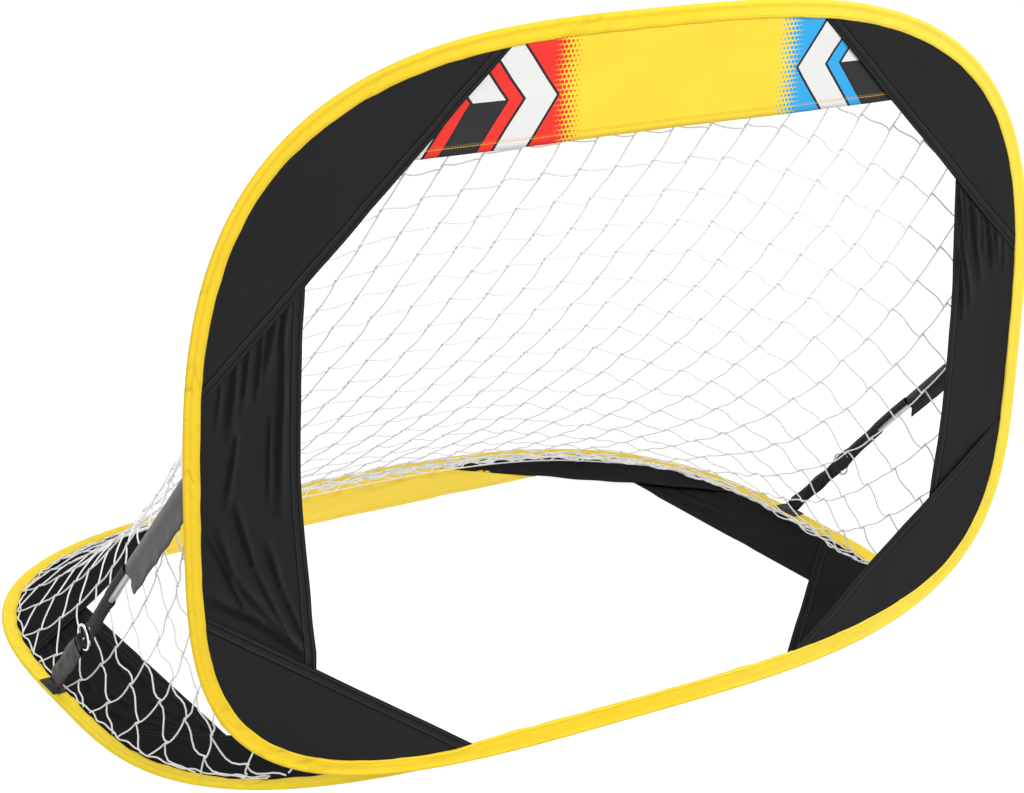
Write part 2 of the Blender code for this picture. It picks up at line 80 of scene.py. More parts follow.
def hoop(distance, inset=0.0):
    """Points (u, v) at distances along the wire, moved inwards, and the inward directions."""
    distance = np.asarray(distance, float)
    beside = 0.003
    ends = [np.interp((distance + d) % HOOP_LENGTH, line_s, line) for d in (-beside, beside)
            for line in (line_u, line_v)]
    tangent = np.stack([ends[2] - ends[0], ends[3] - ends[1]], -1)
    tangent = tangent / np.linalg.norm(tangent, axis=-1, keepdims=True)
    inward = np.stack([tangent[..., 1], -tangent[..., 0]], -1)
    middle = np.stack([np.interp(distance % HOOP_LENGTH, line_s, line) for line in (line_u, line_v)], -1)
    return middle + np.asarray(inset, float)[..., None] * inward, inward


def standing(u, v, q):
    """Places on the standing hoop: across, up and q behind its plane."""
    return np.stack([u, FRONT_Y + q, BASE_Z + v], -1)


def lying(u, v, q):
    """Places on the lying hoop: across, backwards and q over its plane."""
    return np.stack([u, HINGE_Y + v, BASE_Z + q], -1)


def plain_paint(name, colour, roughness, more):
    """A plain finish and its shader; more gives other sockets of the shader their values."""
    paint = bpy.data.materials.new(name)
    paint.use_nodes = True
    shader = paint.node_tree.nodes["Principled BSDF"]
    shader.inputs["Base Color"].default_value = (*colour, 1)
    shader.inputs["Roughness"].default_value = roughness
    for socket, value in more.items():
        shader.inputs[socket].default_value = value
    return paint, shader


def repaint(node, paint):
    """Gives one of the part's own solids its finish."""
    materials = frame["nodes"][node].data.materials
    materials.clear()
    materials.append(paint)


wire_steel, _ = plain_paint("wire_steel", WIRE_GREY, 0.35, {"Metallic": 1.0})
for node in ("front_hoop_wire", "base_hoop_wire", "front_hoop_ferrule", "base_hoop_ferrule"):
    repaint(node, wire_steel)


# Sleeves: a strip of yellow cloth is folded round each wire and sewn to itself along its inner
# edge, where it puckers between the stitches. The standing hoop's is drawn narrower by its
# panels and creased at the upper left. Painted shade lies on the puckers, along the fold beside
# the wire and over the standing sleeve's upper left. Painted light makes the standing sleeve
# paler on the right, painted shade darkens the lying one at the rear right, and the lying one's
# yellow is a lighter copy of the same cloth, which is painted light.
SLEEVE_EDGE = 0.0233            # from the wire's centreline to the sewn edge
STITCH_ROW = 0.0200
FOLD_ROW = 0.0062               # where the two layers meet beside the wire
STANDING_YELLOW = (0.960, 0.670, 0.026)
# Painted light: the standing sleeve's paler tone on its right
STANDING_PAINTED_LIGHT = (0.92, 0.715, 0.070)
# The lying sleeve's yellow is a lighter copy of the same cloth: painted light
LYING_YELLOW_LIT = (0.99, 0.740, 0.030)
# Painted shade: the lying sleeve's darker tone at its rear right
LYING_PAINTED_SHADE = (0.72, 0.53, 0.050)
# The colour of the sleeves' thread, and of the shade painted on their puckers, fold and upper left
SLEEVE_THREAD_AND_SHADE = (0.42, 0.25, 0.008)
STITCH_PITCH = 0.0036
STITCH_DASH = 0.72              # the part of the pitch that shows thread
THREAD_HALF = 0.0005
LACING = 0.0555                 # from one lacing of the net to the next
STATIONS = 420


class Value:
    """A number that changes over a surface. Each step of arithmetic is a Math node."""

    def __init__(self, socket):
        self.socket = socket
        self.tree = socket.id_data

    def step(self, operation, *others):
        """The result of one Math node on this value and others, or plain numbers."""
        node = self.tree.nodes.new("ShaderNodeMath")
        node.operation = operation
        for slot, value in zip(node.inputs, (self, *others)):
            if isinstance(value, Value):
                self.tree.links.new(value.socket, slot)
            else:
                slot.default_value = value
        return Value(node.outputs[0])

    def __add__(self, other):
        return self.step("ADD", other)

    def __sub__(self, other):
        return self.step("SUBTRACT", other)

    def __mul__(self, other):
        return self.step("MULTIPLY", other)

    def __truediv__(self, other):
        return self.step("DIVIDE", other)

    def __abs__(self):
        return self.step("ABSOLUTE")

    def __lt__(self, other):
        return self.step("LESS_THAN", other)

    def __gt__(self, other):
        return self.step("GREATER_THAN", other)

    def or_more(self, other):
        """The larger of this value and another."""
        return self.step("MAXIMUM", other)

    def clamped(self):
        """Holds the last step between 0 and 1."""
        self.socket.node.use_clamp = True
        return self


def layer_of(tree, name):
    """The two lengths that a mesh keeps in one of its layers."""
    place = tree.nodes.new("ShaderNodeUVMap")
    place.uv_map = name
    split = tree.nodes.new("ShaderNodeSeparateXYZ")
    tree.links.new(place.outputs[0], split.inputs[0])
    return Value(split.outputs[0]), Value(split.outputs[1])


def cloth(name, colour, roughness, threads=1400.0, layer="run"):
    """Woven cloth with a fine two-way weave: its material, its shader, the lengths along and
    across from its layer, and the height of the weave."""
    paint, shader = plain_paint(name, colour, roughness, {"Specular IOR Level": 0.2})
    along, across = layer_of(paint.node_tree, layer)
    warp = (along * (threads * 2 * math.pi)).step("SINE")
    weft = (across * (threads * 2 * math.pi)).step("SINE")
    return paint, shader, along, across, warp * weft * 0.00004


def mixed(under, over, share):
    """Two colours, each a tuple or a socket, mixed by a share from 0 to 1."""
    node = share.tree.nodes.new("ShaderNodeMix")
    node.data_type = "RGBA"
    for slot, colour in (("A", under), ("B", over)):
        if isinstance(colour, tuple):
            node.inputs[slot].default_value = (*colour, 1)
        else:
            share.tree.links.new(colour, node.inputs[slot])
    share.tree.links.new(share.socket, node.inputs["Factor"])
    return node.outputs["Result"]


def cloudy(first, second=None):
    """Soft noise about 0.5 over one or two values."""
    tree = first.tree
    spot = tree.nodes.new("ShaderNodeCombineXYZ")
    tree.links.new(first.socket, spot.inputs[0])
    if second is not None:
        tree.links.new(second.socket, spot.inputs[1])
    cloud = tree.nodes.new("ShaderNodeTexNoise")
    cloud.inputs["Scale"].default_value = 1.0
    cloud.inputs["Detail"].default_value = 2
    tree.links.new(spot.outputs[0], cloud.inputs["Vector"])
    return Value(cloud.outputs["Fac"])


def dyed(shader, colour, unevenness, scale):
    """Gives a shader its colour, multiplied by soft noise round 1."""
    tree = shader.id_data
    coordinates = tree.nodes.new("ShaderNodeTexCoord")
    cloud = tree.nodes.new("ShaderNodeTexNoise")
    cloud.inputs["Scale"].default_value = scale
    cloud.inputs["Detail"].default_value = 3
    tree.links.new(coordinates.outputs["Object"], cloud.inputs["Vector"])
    scaled = tree.nodes.new("ShaderNodeVectorMath")
    scaled.operation = "SCALE"
    tree.links.new(colour, scaled.inputs[0])
    factor = Value(cloud.outputs["Fac"]) * (2 * unevenness) + (1 - unevenness)
    tree.links.new(factor.socket, scaled.inputs["Scale"])
    tree.links.new(scaled.outputs[0], shader.inputs["Base Color"])


def raised_by(shader, height):
    """Gives a shader a bump from a height in metres."""
    bump = height.tree.nodes.new("ShaderNodeBump")
    bump.inputs["Strength"].default_value = 1.0
    bump.inputs["Distance"].default_value = 1.0
    height.tree.links.new(height.socket, bump.inputs["Height"])
    height.tree.links.new(bump.outputs[0], shader.inputs["Normal"])


def band(value, centre, half):
    """1 where a value lies within half of a centre, else 0."""
    return abs(value - centre) < half


def stitches(along, across, row):
    """1 on the dashes of a row of stitches at a distance across, else 0."""
    return band(across, row, THREAD_HALF) * ((along / STITCH_PITCH).step("FRACT") < STITCH_DASH)


def sleeve_cloth(prefix, yellow, painted_tone, painted_tone_at, creased):
    """A sleeve's cloth, mixed towards a painted tone about one share of the way round (painted light on the
    standing sleeve, painted shade on the lying one), and creased at its upper left, where shade is painted
    too.
    """
    paint, shader, along, across, height = cloth(prefix + "_sleeve_cloth", yellow, 0.55)
    from_below = (along + HOOP_LENGTH / 2).step("FLOORED_MODULO", HOOP_LENGTH)
    away = abs(from_below - painted_tone_at * HOOP_LENGTH)
    # Mixed towards the given painted tone (painted light on the standing sleeve, painted shade on the lying
    # one) about one share of the way round
    colour = mixed(yellow, painted_tone, (away * (-9.0 / HOOP_LENGTH) + 2.2).clamped())
    # Pucker lines lean across the sleeve and come in patches, most of them four fifths round;
    # they are raised as bumps and darkened with painted shade
    pucker = (cloudy(across * 46.0 + along * 62.0, along * 3.0 + across * 26.0) * 5.0 - 2.35).clamped()
    patch = (cloudy(along * 5.0) * 5.0 - 2.2).clamped()
    # The upper left, four fifths round, where puckers crowd and painted shade lies
    upper_left_mask = (abs(along - 0.8 * HOOP_LENGTH) * (-6.25 / HOOP_LENGTH) + 1.6).clamped()
    pucker = pucker * (patch * 0.42 + 0.10) * (upper_left_mask * creased + 0.20)
    # Painted shade over the standing sleeve's upper left
    upper_left_shade = upper_left_mask * upper_left_mask * (0.18 * creased)
    seam = stitches(along, across, STITCH_ROW)
    # A thin line of painted shade along the fold beside the wire
    fold = (abs(across - FOLD_ROW) * -700.0 + 1.0).clamped()
    thread_and_shade = (seam * 0.4).or_more(fold * 0.12).or_more(pucker).or_more(upper_left_shade)
    dyed(shader, mixed(colour, SLEEVE_THREAD_AND_SHADE, thread_and_shade), 0.06, 30)
    raised_by(shader, height - pucker * 0.0015 - seam * 0.0002)
    return paint


def step_up(value):
    """Rises smoothly from 0 to 1."""
    value = np.clip(value, 0, 1)
    return value * value * (3 - 2 * value)


def drawn_in(prefix, points):
    """How much narrower a hoop's sleeve is than along the middle of its bottom run."""
    left = step_up((-points[:, 0] - 0.17) / 0.12)
    if prefix == "base":
        return 0.0055 * left + 0.0006
    share = np.maximum(step_up((points[:, 1] + 0.005) / 0.10), left)
    share = share * (1 - 0.4 * step_up((points[:, 1] - 0.72) / 0.12))
    return 0.0072 * share + 0.0006


def rough(points, scale, seed):
    """Smooth noise at an array of (x, y) points, from -1 to 1."""
    flat = np.reshape(points, (-1, 2)) * scale
    values = [noise.noise(Vector((x, y, seed))) for x, y in flat]
    return np.reshape(values, np.shape(points)[:-1])


def make_mesh(name, verts, faces, paint, uvs=None):
    """A smooth object from arrays; uvs maps a layer's name to one (x, y) per corner of a face."""
    mesh = bpy.data.meshes.new(name)
    mesh.from_pydata([tuple(p) for p in np.reshape(verts, (-1, 3))], [], [tuple(f) for f in faces])
    for layer, corners in (uvs or {}).items():
        made = mesh.uv_layers.new(name=layer)
        made.data.foreach_set("uv", np.asarray(corners, np.float32).ravel())
    mesh.materials.append(paint)
    mesh.shade_smooth()
    made = bpy.data.objects.new(name, mesh)
    bpy.context.scene.collection.objects.link(made)
    return made


def sweep_mesh(name, rings, paint, closed, along=None, across=None, loop=True):
    """A skin over an array of rings (n, m, 3), with a layer of (along, across) lengths."""
    n, m = rings.shape[:2]
    faces, corners = [], []
    for k in range(n if closed else n - 1):
        for i in range(m if loop else m - 1):
            j = (i + 1) % m
            faces.append((k * m + i, k * m + j, (k + 1) % n * m + j, (k + 1) % n * m + i))
            if along is not None:
                wide = across[j] if j else across[m]
                corners += [(along[k], across[i]), (along[k], wide),
                            (along[k + 1], wide), (along[k + 1], across[i])]
    return make_mesh(name, rings, faces, paint, {"run": corners} if along is not None else None)


def dress(piece, body, node):
    """Fixes a piece to its body, in the place of the part's plain solid."""
    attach(piece, body)
    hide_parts(node)


sleeve_paint = {"front": sleeve_cloth("front", STANDING_YELLOW, STANDING_PAINTED_LIGHT, 0.75, 1.0),
                "base": sleeve_cloth("base", LYING_YELLOW_LIT, LYING_PAINTED_SHADE, 0.60, 0.2)}
# One round of the skin: in from the sewn edge, round the wire, and back along the other leg
leg_p = np.array([SLEEVE_EDGE, 0.0205, 0.0165, 0.0125, 0.0090, FOLD_ROW])
leg_q = np.array([0.0014, 0.0017, 0.0019, 0.0018, 0.0017, 0.0016])
arc = [math.radians(a) for a in (55, 80, 110, 140, 165, 195, 220, 250, 280, 305)]
profile_p = np.concatenate([leg_p, WIRE_ROUND * np.cos(arc), leg_p[::-1]])
profile_q = np.concatenate([leg_q, WIRE_ROUND * np.sin(arc), -leg_q[::-1]])
across = np.concatenate([leg_p, np.linspace(0.0045, -0.0045, 10), leg_p[::-1], [SLEEVE_EDGE]])
free = np.clip((profile_p - 0.004) / 0.017, 0, 1)
distance = np.arange(STATIONS) * HOOP_LENGTH / STATIONS
run = np.arange(STATIONS + 1) * HOOP_LENGTH / STATIONS
points, inward = hoop(distance)
for prefix, place, seed, tight in (("front", standing, 2.0, 0.3), ("base", lying, 7.0, 1.0)):
    where = np.stack(np.broadcast_arrays(distance[:, None], profile_p[None, :]), -1)
    pucker = rough(where, (46, 70), seed) * 0.0016 + rough(where, (13, 30), seed + 3) * 0.0022
    pucker = np.clip(pucker, -0.0002, 0.0020) * np.sign(profile_q)[None, :]
    shake = rough(np.stack([distance, distance * 0], -1), 45, seed + 9) * 0.0016 * tight
    scallop = np.abs(np.sin(distance * math.pi / LACING)) ** 0.6 * 0.0022 * tight
    p = profile_p[None, :] + (shake - scallop - drawn_in(prefix, points))[:, None] * free[None, :]
    q = profile_q[None, :] + pucker * free[None, :]
    if prefix == "base":
        # The ground holds it up
        q = np.maximum(q, -0.0030)
    rings = place(points[:, :1] + p * inward[:, :1], points[:, 1:] + p * inward[:, 1:], q)
    sleeve = sweep_mesh(prefix + "_sleeve_cloth", rings, sleeve_paint[prefix], True, run, across)
    dress(sleeve, prefix + "_frame", prefix + "_hoop_sleeve")


# Panels: black cloth, a corner panel at each of the hoop's four corners and a strip down each
# side. The outer edge is sewn in under the sleeve. The free edge has a hem with two rows of
# stitches, and the strips are gathered into small pleats where the corner panels hold them.
PANEL_EDGE = 0.0100             # from the wire's centreline to a panel's outer edge
PANEL_SKIN = 0.0006
PANEL_CELL = 0.0065             # of the grid that a panel is bent on
STRIP_CELL = 0.0028             # finer, for the pleats
HEM = 0.0135
HEM_FOLD = 0.0052
# Where a painted highlight runs along the hem
HEM_HIGHLIGHT = 0.0092
STANDING_BLACK = (0.0105, 0.0105, 0.0115)
# The lying panels' black is a darker copy of the same cloth: painted shade
LYING_BLACK_SHADED = (0.0046, 0.0046, 0.0050)
BLACK_THREAD = (0.045, 0.045, 0.048)
SHADOW = (0.001, 0.001, 0.001)
# Free edges on the right, from (u, v) to (u, v); those on the left are mirrored
TOP_CHORD = ((0.4565, 0.6243), (0.3350, 0.7363))
LOW_CHORD = ((0.4565, 0.1923), (0.2440, 0.0233))
BASE_RIGHT_LOW_CHORD = ((0.4565, 0.2080), (0.2640, 0.0233))
FRONT_RIGHT_TOP_CHORD = ((0.4607, 0.6276), (0.3421, 0.7404))
FRONT_LEFT_TOP_CHORD = ((0.4530, 0.6180), (0.3270, 0.7340))
FRONT_LEFT_LOW_CHORD = ((0.4530, 0.1770), (0.2340, 0.0210))
# Each side's free edge of the strip, and the edges of its top and bottom corner panels
CUTS = {("front", "left"): (0.4530, FRONT_LEFT_TOP_CHORD, FRONT_LEFT_LOW_CHORD),
        ("front", "right"): (0.4660, FRONT_RIGHT_TOP_CHORD, LOW_CHORD),
        ("base", "left"): (0.4565, TOP_CHORD, LOW_CHORD),
        ("base", "right"): (0.4565, TOP_CHORD, BASE_RIGHT_LOW_CHORD)}
BANNER_V = 0.7363               # the banner's free edge
OVERLAP = 0.010                 # of a strip or the banner under a corner panel
STRIP_BEHIND = {"front": 0.0030, "base": -0.0028}
STRIP_BOW = 0.0110              # of the standing strips' free edges, drawn outwards
# Pleats of the side strips, each from (u, v) to (u, v)
PLEATS = {
    "left": ((-0.472, 0.600, -0.481, 0.553), (-0.487, 0.585, -0.501, 0.521), (-0.503, 0.573, -0.510, 0.499),
             (-0.518, 0.561, -0.529, 0.484), (-0.534, 0.549, -0.543, 0.463), (-0.552, 0.535, -0.559, 0.478),
             (-0.478, 0.593, -0.476, 0.481), (-0.476, 0.511, -0.481, 0.367), (-0.492, 0.478, -0.496, 0.383),
             (-0.535, 0.462, -0.549, 0.387), (-0.466, 0.192, -0.533, 0.267), (-0.533, 0.267, -0.571, 0.356),
             (-0.473, 0.203, -0.544, 0.307), (-0.544, 0.307, -0.559, 0.359), (-0.479, 0.211, -0.519, 0.314),
             (-0.519, 0.314, -0.537, 0.385), (-0.514, 0.244, -0.576, 0.290), (-0.463, 0.207, -0.488, 0.282),
             (-0.488, 0.282, -0.500, 0.335)),
    "right": ((0.471, 0.617, 0.485, 0.539), (0.483, 0.539, 0.502, 0.454), (0.481, 0.611, 0.494, 0.527),
              (0.496, 0.590, 0.519, 0.489), (0.504, 0.582, 0.512, 0.541), (0.515, 0.580, 0.524, 0.523),
              (0.529, 0.565, 0.541, 0.500), (0.541, 0.555, 0.549, 0.509), (0.555, 0.543, 0.562, 0.497),
              (0.477, 0.529, 0.491, 0.437))}
panel_line, _ = hoop(np.linspace(0, HOOP_LENGTH, 141)[:-1], PANEL_EDGE)
sleeve_line, _ = hoop(np.linspace(0, HOOP_LENGTH, 501)[:-1], PANEL_EDGE)


def panel_cloth(prefix, black, gloss, roughness):
    """Black cloth with its hem, from the lengths along the free edge and in from it."""
    paint, shader, _, _, height = cloth(prefix + "_panel_cloth", black, roughness, layer="panel")
    shader.inputs["Specular IOR Level"].default_value = gloss
    tree = paint.node_tree
    along, inside = layer_of(tree, "hem")
    row = stitches(along, inside, 0.0025).or_more(stitches(along, inside, HEM - 0.0022))
    on_hem = inside < HEM
    grooves = band(inside, HEM, 0.0009).or_more(band(inside, HEM_FOLD, 0.0006) * 0.7)
    # The hem band is darker, and a painted highlight runs along its middle
    hem_tone_and_highlight = on_hem * -0.30 + 1.0 + band(inside, HEM_HIGHLIGHT, 0.0026) * 0.55
    # The pleats' painted light and shade, read from the mesh's attribute
    folded = tree.nodes.new("ShaderNodeAttribute")
    folded.attribute_name = "crease"
    tone = (Value(folded.outputs["Fac"]) * 1.7 + 1.0).or_more(0.10) * hem_tone_and_highlight
    ground = tree.nodes.new("ShaderNodeVectorMath")
    ground.operation = "SCALE"
    ground.inputs[0].default_value = black
    tree.links.new(tone.socket, ground.inputs["Scale"])
    colour = mixed(mixed(ground.outputs[0], BLACK_THREAD, row * 0.7), SHADOW, grooves)
    dyed(shader, colour, 0.22, 7)
    raised_by(shader, height + on_hem * 0.0006 - row * 0.0003)
    return paint


def clip(outline, point, keep):
    """The part of a convex outline on the side of a line that keep points to."""
    kept = []
    for i, here in enumerate(outline):
        there = outline[(i + 1) % len(outline)]
        a = (here[0] - point[0]) * keep[0] + (here[1] - point[1]) * keep[1]
        b = (there[0] - point[0]) * keep[0] + (there[1] - point[1]) * keep[1]
        if a >= 0:
            kept.append(tuple(here))
        if a * b < 0:
            share = a / (a - b)
            kept.append((here[0] + share * (there[0] - here[0]), here[1] + share * (there[1] - here[1])))
    return kept


def outward_normal(first, second):
    """The direction across an edge, away from the hoop's middle."""
    normal = np.array([second[1] - first[1], first[0] - second[0]])
    normal = normal / np.linalg.norm(normal)
    return normal if normal @ (np.array(first) - (0, HOOP_HEIGHT / 2)) > 0 else -normal


def cut_panels(prefix):
    """A hoop's black panels as name, outline, a point of the free edge and the way outwards,
    and its banner's outline."""
    panels = []
    banner = clip(panel_line, (0, BANNER_V), (0, 1))
    for side, sign in (("left", -1), ("right", 1)):
        strip_u, top, low = CUTS[prefix, side]
        strip = clip(panel_line, (sign * strip_u, 0), (sign, 0))
        for corner, chord in (("_top_corner", top), ("_bottom_corner", low)):
            first, second = [np.array((sign * u, v)) for u, v in chord]
            keep = outward_normal(first, second)
            panels.append((side + corner, clip(panel_line, first, keep), first, keep))
            strip = clip(strip, first + OVERLAP * keep, -keep)
            if chord is top:
                banner = clip(banner, first + OVERLAP * keep, -keep)
        panels.append((side + "_side_strip", strip, np.array((sign * strip_u, 0.0)), np.array((sign, 0.0))))
    return panels, banner


def panel_grid(outline, step):
    """A gridded sheet over a convex outline of (u, v) points."""
    outline = np.asarray(outline)
    lo = outline.min(0)
    hi = outline.max(0)
    body = bmesh.new()
    cells = np.maximum(1, np.ceil((hi - lo) / step)).astype(int)
    bmesh.ops.create_grid(body, x_segments=int(cells[0]), y_segments=int(cells[1]), size=0.5)
    for vert in body.verts:
        vert.co.x = lo[0] + (vert.co.x + 0.5) * (hi[0] - lo[0])
        vert.co.y = lo[1] + (vert.co.y + 0.5) * (hi[1] - lo[1])
    centre = outline.mean(0)
    for a, b in zip(outline, np.roll(outline, -1, axis=0)):
        normal = np.array([b[1] - a[1], a[0] - b[0]])
        if normal @ (a - centre) < 0:
            normal = -normal
        if np.linalg.norm(normal) < 1e-5:
            continue
        bmesh.ops.bisect_plane(body, geom=body.verts[:] + body.edges[:] + body.faces[:], dist=1e-5,
                               plane_co=(a[0], a[1], 0), plane_no=(normal[0], normal[1], 0),
                               clear_outer=True)
    return body


def pleated(flat, lines):
    """The painted light and shade of a strip's pleats at points of it, and how far each point is on a
    pleat.
    """
    crease = flat[:, 0] * 0
    raised = flat[:, 0] * 0
    for number, (u, v, u_end, v_end) in enumerate(lines):
        start, stop = np.array((u, v)), np.array((u_end, v_end))
        stretch = stop - start
        share = np.clip(((flat - start) @ stretch) / (stretch @ stretch), 0, 1)
        apart = flat - start - share[:, None] * stretch
        gap = np.linalg.norm(apart, axis=1)
        wide = (0.0042 + 0.0016 * math.sin(number * 2.1)) * (0.75 + 0.5 * share)
        fade = 0.25 + 0.75 * np.sin(math.pi * np.clip(share * 0.75 + 0.22, 0, 1))
        ridge = np.exp(-(gap / wide) ** 2) * fade
        way = apart[:, 0] / (gap + 1e-6)
        raised = raised + ridge
        # One side of each pleat is painted lighter and the other darker, and the pleat as a whole a little
        # darker: painted light and shade
        crease = crease + way * (gap / wide) * ridge * 1.6 - 0.25 * ridge
    return crease, raised


def sew_panel(prefix, name, outline, first, keep, paint, behind=0.0, lines=(), bow=0.0):
    """One panel of a hoop: gently rumpled between its sewn edge and its hemmed one, which runs
    through first and has the sleeve in the direction of keep."""
    place, seed = (standing, 1.0) if prefix == "front" else (lying, 20.0)
    body = panel_grid(outline, STRIP_CELL if lines else PANEL_CELL)
    along = np.array([-keep[1], keep[0]])
    flat = np.array([(vert.co.x, vert.co.y) for vert in body.verts])
    depth = (flat - first) @ keep
    length = (flat - first) @ along
    crease, raised = pleated(flat, lines)
    gap = np.min(np.linalg.norm(flat[:, None, :] - sleeve_line[None, :, :], axis=2), axis=1)
    held = np.clip((gap - 0.015) / 0.03, 0, 1)
    soft = rough(flat, 9, seed) * 0.0035 + rough(flat, 24, seed + 5) * 0.0012
    soft = soft - 0.0028 * np.minimum(raised, 1)
    q = soft * held + behind * np.maximum(held, 0.25)
    if prefix == "base":
        q = np.clip(q, -0.0024, 0.004)
    drawn = flat[:, 0].copy()
    if bow:
        # The free edge is drawn outwards between the two corner panels
        t = np.clip((flat[:, 1] - 0.19) / 0.43, 0, 1)
        reach = bow * np.sin(math.pi * t)
        if keep[0] < 0:
            reach = reach * 0.8 - bow * (1 - t) ** 2
        drawn = drawn + keep[0] * reach * np.clip(1 - depth / 0.085, 0, 1)
    for vert, point in zip(body.verts, place(drawn, flat[:, 1], q)):
        vert.co = point
    panel_layer = body.loops.layers.uv.new("panel")
    hem_layer = body.loops.layers.uv.new("hem")
    body.verts.index_update()
    for face in body.faces:
        for corner in face.loops:
            k = corner.vert.index
            corner[panel_layer].uv = flat[k]
            corner[hem_layer].uv = (length[k], depth[k])
    mesh = bpy.data.meshes.new(prefix + "_" + name + "_cloth")
    body.to_mesh(mesh)
    body.free()
    mesh.attributes.new("crease", "FLOAT", "POINT").data.foreach_set("value", crease.astype(np.float32))
    mesh.materials.append(paint)
    mesh.shade_smooth()
    panel = bpy.data.objects.new(prefix + "_" + name + "_cloth", mesh)
    bpy.context.scene.collection.objects.link(panel)
    thicken(panel, PANEL_SKIN)
    dress(panel, prefix + "_frame", prefix + "_" + name)
    ring = np.array(outline)
    float(np.ptp(ring @ keep))


def thicken(piece, thickness):
    """Gives a skin its thickness, half to each side."""
    solid = piece.modifiers.new("thickness", "SOLIDIFY")
    solid.thickness = thickness
    solid.offset = 0


banner_outline = {}
for prefix, black, gloss, roughness in (("front", STANDING_BLACK, 0.10, 0.50),
                                        ("base", LYING_BLACK_SHADED, 0.05, 0.75)):
    paint = panel_cloth(prefix, black, gloss, roughness)
    panels, banner_outline[prefix] = cut_panels(prefix)
    for name, outline, first, keep in panels:
        if "strip" in name:
            sew_panel(prefix, name, outline, first, keep, paint, STRIP_BEHIND[prefix],
                      PLEATS[name.split("_")[0]], STRIP_BOW if prefix == "front" else 0.0)
        else:
            sew_panel(prefix, name, outline, first, keep, paint)


# Banners: a yellow cloth along the run opposite the hinge of each hoop, sewn in under the sleeve
# and the top corner panels, with a gold stitch row over its hem. The standing one is printed: a
# red end and a blue end with chevrons and bars fade into the yellow through dots.
BANNER_YELLOW = (0.890, 0.645, 0.040)
BANNER_BEHIND = {"front": 0.0028, "base": -0.0028}
BANNER_RED = (0.80, 0.030, 0.022)
BANNER_BLUE = (0.03, 0.36, 0.74)
PRINT_BLACK = (0.012, 0.012, 0.014)
PRINT_WHITE = (0.74, 0.74, 0.73)
BAR_BLACK = (0.016, 0.016, 0.018)
GOLD_THREAD = (0.62, 0.38, 0.02)
HEM_SHADE = (0.5, 0.3, 0.01)
BANNER_STITCH_ROW = 0.0085
BANNER_HEM = 0.0105
DOT_CELL = 0.0056
CHEVRON_PITCH = 0.066
CHEVRON_HALF = 0.070
CHEVRON_V = HOOP_HEIGHT - 0.082


def printed_end(colour, u, v, end, ground, start):
    """The print of one end, -1 or 1, over a colour. Its ground is full from about start on."""
    reach = u * end
    odd = (v / DOT_CELL).step("FLOOR").step("FLOORED_MODULO", 2.0) * (DOT_CELL / 2)
    dx = ((u + odd) / DOT_CELL).step("FRACT") - 0.5
    dy = (v / DOT_CELL).step("FRACT") - 0.5
    far = (dx * dx + dy * dy).step("SQRT")
    colour = mixed(colour, ground, far < (reach - (start - 0.047)) * 15.0)
    height = v - CHEVRON_V
    fold = abs(height)
    phase = (reach - (start - 0.012) - fold * 0.75) / CHEVRON_PITCH
    within = (phase > 0.0) * (fold < CHEVRON_HALF)
    part_of = phase.step("FRACT")
    colour = mixed(colour, PRINT_BLACK, within * (part_of < 0.74))
    white = within * (part_of < 0.68) * (part_of > 0.06)
    colour = mixed(colour, PRINT_WHITE, white)
    second = (phase * 0.5).step("FRACT") > 0.5
    return mixed(colour, BAR_BLACK, white * (height < 0.0) * second)


def banner_cloth(prefix, printed):
    """A banner's cloth, from its own (u, v) and the lengths along and in from its hem."""
    paint, shader, u, v, height = cloth(prefix + "_banner_cloth", BANNER_YELLOW, 0.50, layer="panel")
    along, inside = layer_of(paint.node_tree, "hem")
    colour = BANNER_YELLOW
    if printed:
        colour = printed_end(colour, u, v, -1.0, BANNER_RED, 0.150)
        colour = printed_end(colour, u, v, 1.0, BANNER_BLUE, 0.205)
    colour = mixed(colour, GOLD_THREAD, stitches(along, inside, BANNER_STITCH_ROW) * 0.9)
    colour = mixed(colour, HEM_SHADE, band(inside, BANNER_HEM, 0.0006) * 0.25)
    dyed(shader, colour, 0.03, 12)
    raised_by(shader, height + (inside < BANNER_HEM) * 0.0004)
    return paint


for prefix in ("front", "base"):
    sew_panel(prefix, "banner", banner_outline[prefix], np.array((0, BANNER_V)), np.array((0.0, 1.0)),
              banner_cloth(prefix, prefix == "front"), BANNER_BEHIND[prefix])


# Net: white cord knotted into square meshes, every bar of one length. It hangs between the two
# sleeves and sags back, down and to the left. Its strands lie on a fan of columns from sleeve to
# sleeve, and those of one level are one piece.
NET_WHITE = (0.90, 0.90, 0.895)
NET_INSET = 0.0215              # from the wires' centreline to the net's border
BAR = 0.0525                    # knot to knot
CORD_RADIUS = 0.00108
CORD_SIDES = 5
KNOT_HALF = 0.0036
KNOT_RADII = (0.0012, 0.0020, 0.0012)
STRAND_POINTS = 7
LOW_END = 0.060                 # height where the net ends, on the standing hoop
BEHIND_SLEEVE = 0.0048          # where its upper border hangs
OVER_WIRE = 0.0030              # where its lower border lies
SAG_BACK = 0.315                # for each metre that the net comes down
SAG_BACK_LOSS = 0.150           # at the right end
SAG_UP = 0.265
SAG_UP_LOSS = 0.100
PULL_MIDDLE = -0.173            # sideways, where the column is half way down
PULL_LEFT = 0.115
PULL_RIGHT = -0.210
COLUMNS = 240                   # of the hung surface, from left to right
ROWS = 79                       # from the standing sleeve down to the lying one
HALF_WAY = COLUMNS / 2
LEVELS = 14
TOP_LEVEL = 0.80
right_half = line_s < HOOP_LENGTH / 2
reach_low = float(np.interp(WIRE_ROUND - LOW_END, -line_v[right_half], line_s[right_half]))
columns_at = np.linspace(-reach_low, reach_low, COLUMNS + 1)
edge = hoop(columns_at, NET_INSET)[0]
edge_u = edge[:, 0]
low_u, low_v = hoop(columns_at, NET_INSET - drawn_in("base", edge))[0].T
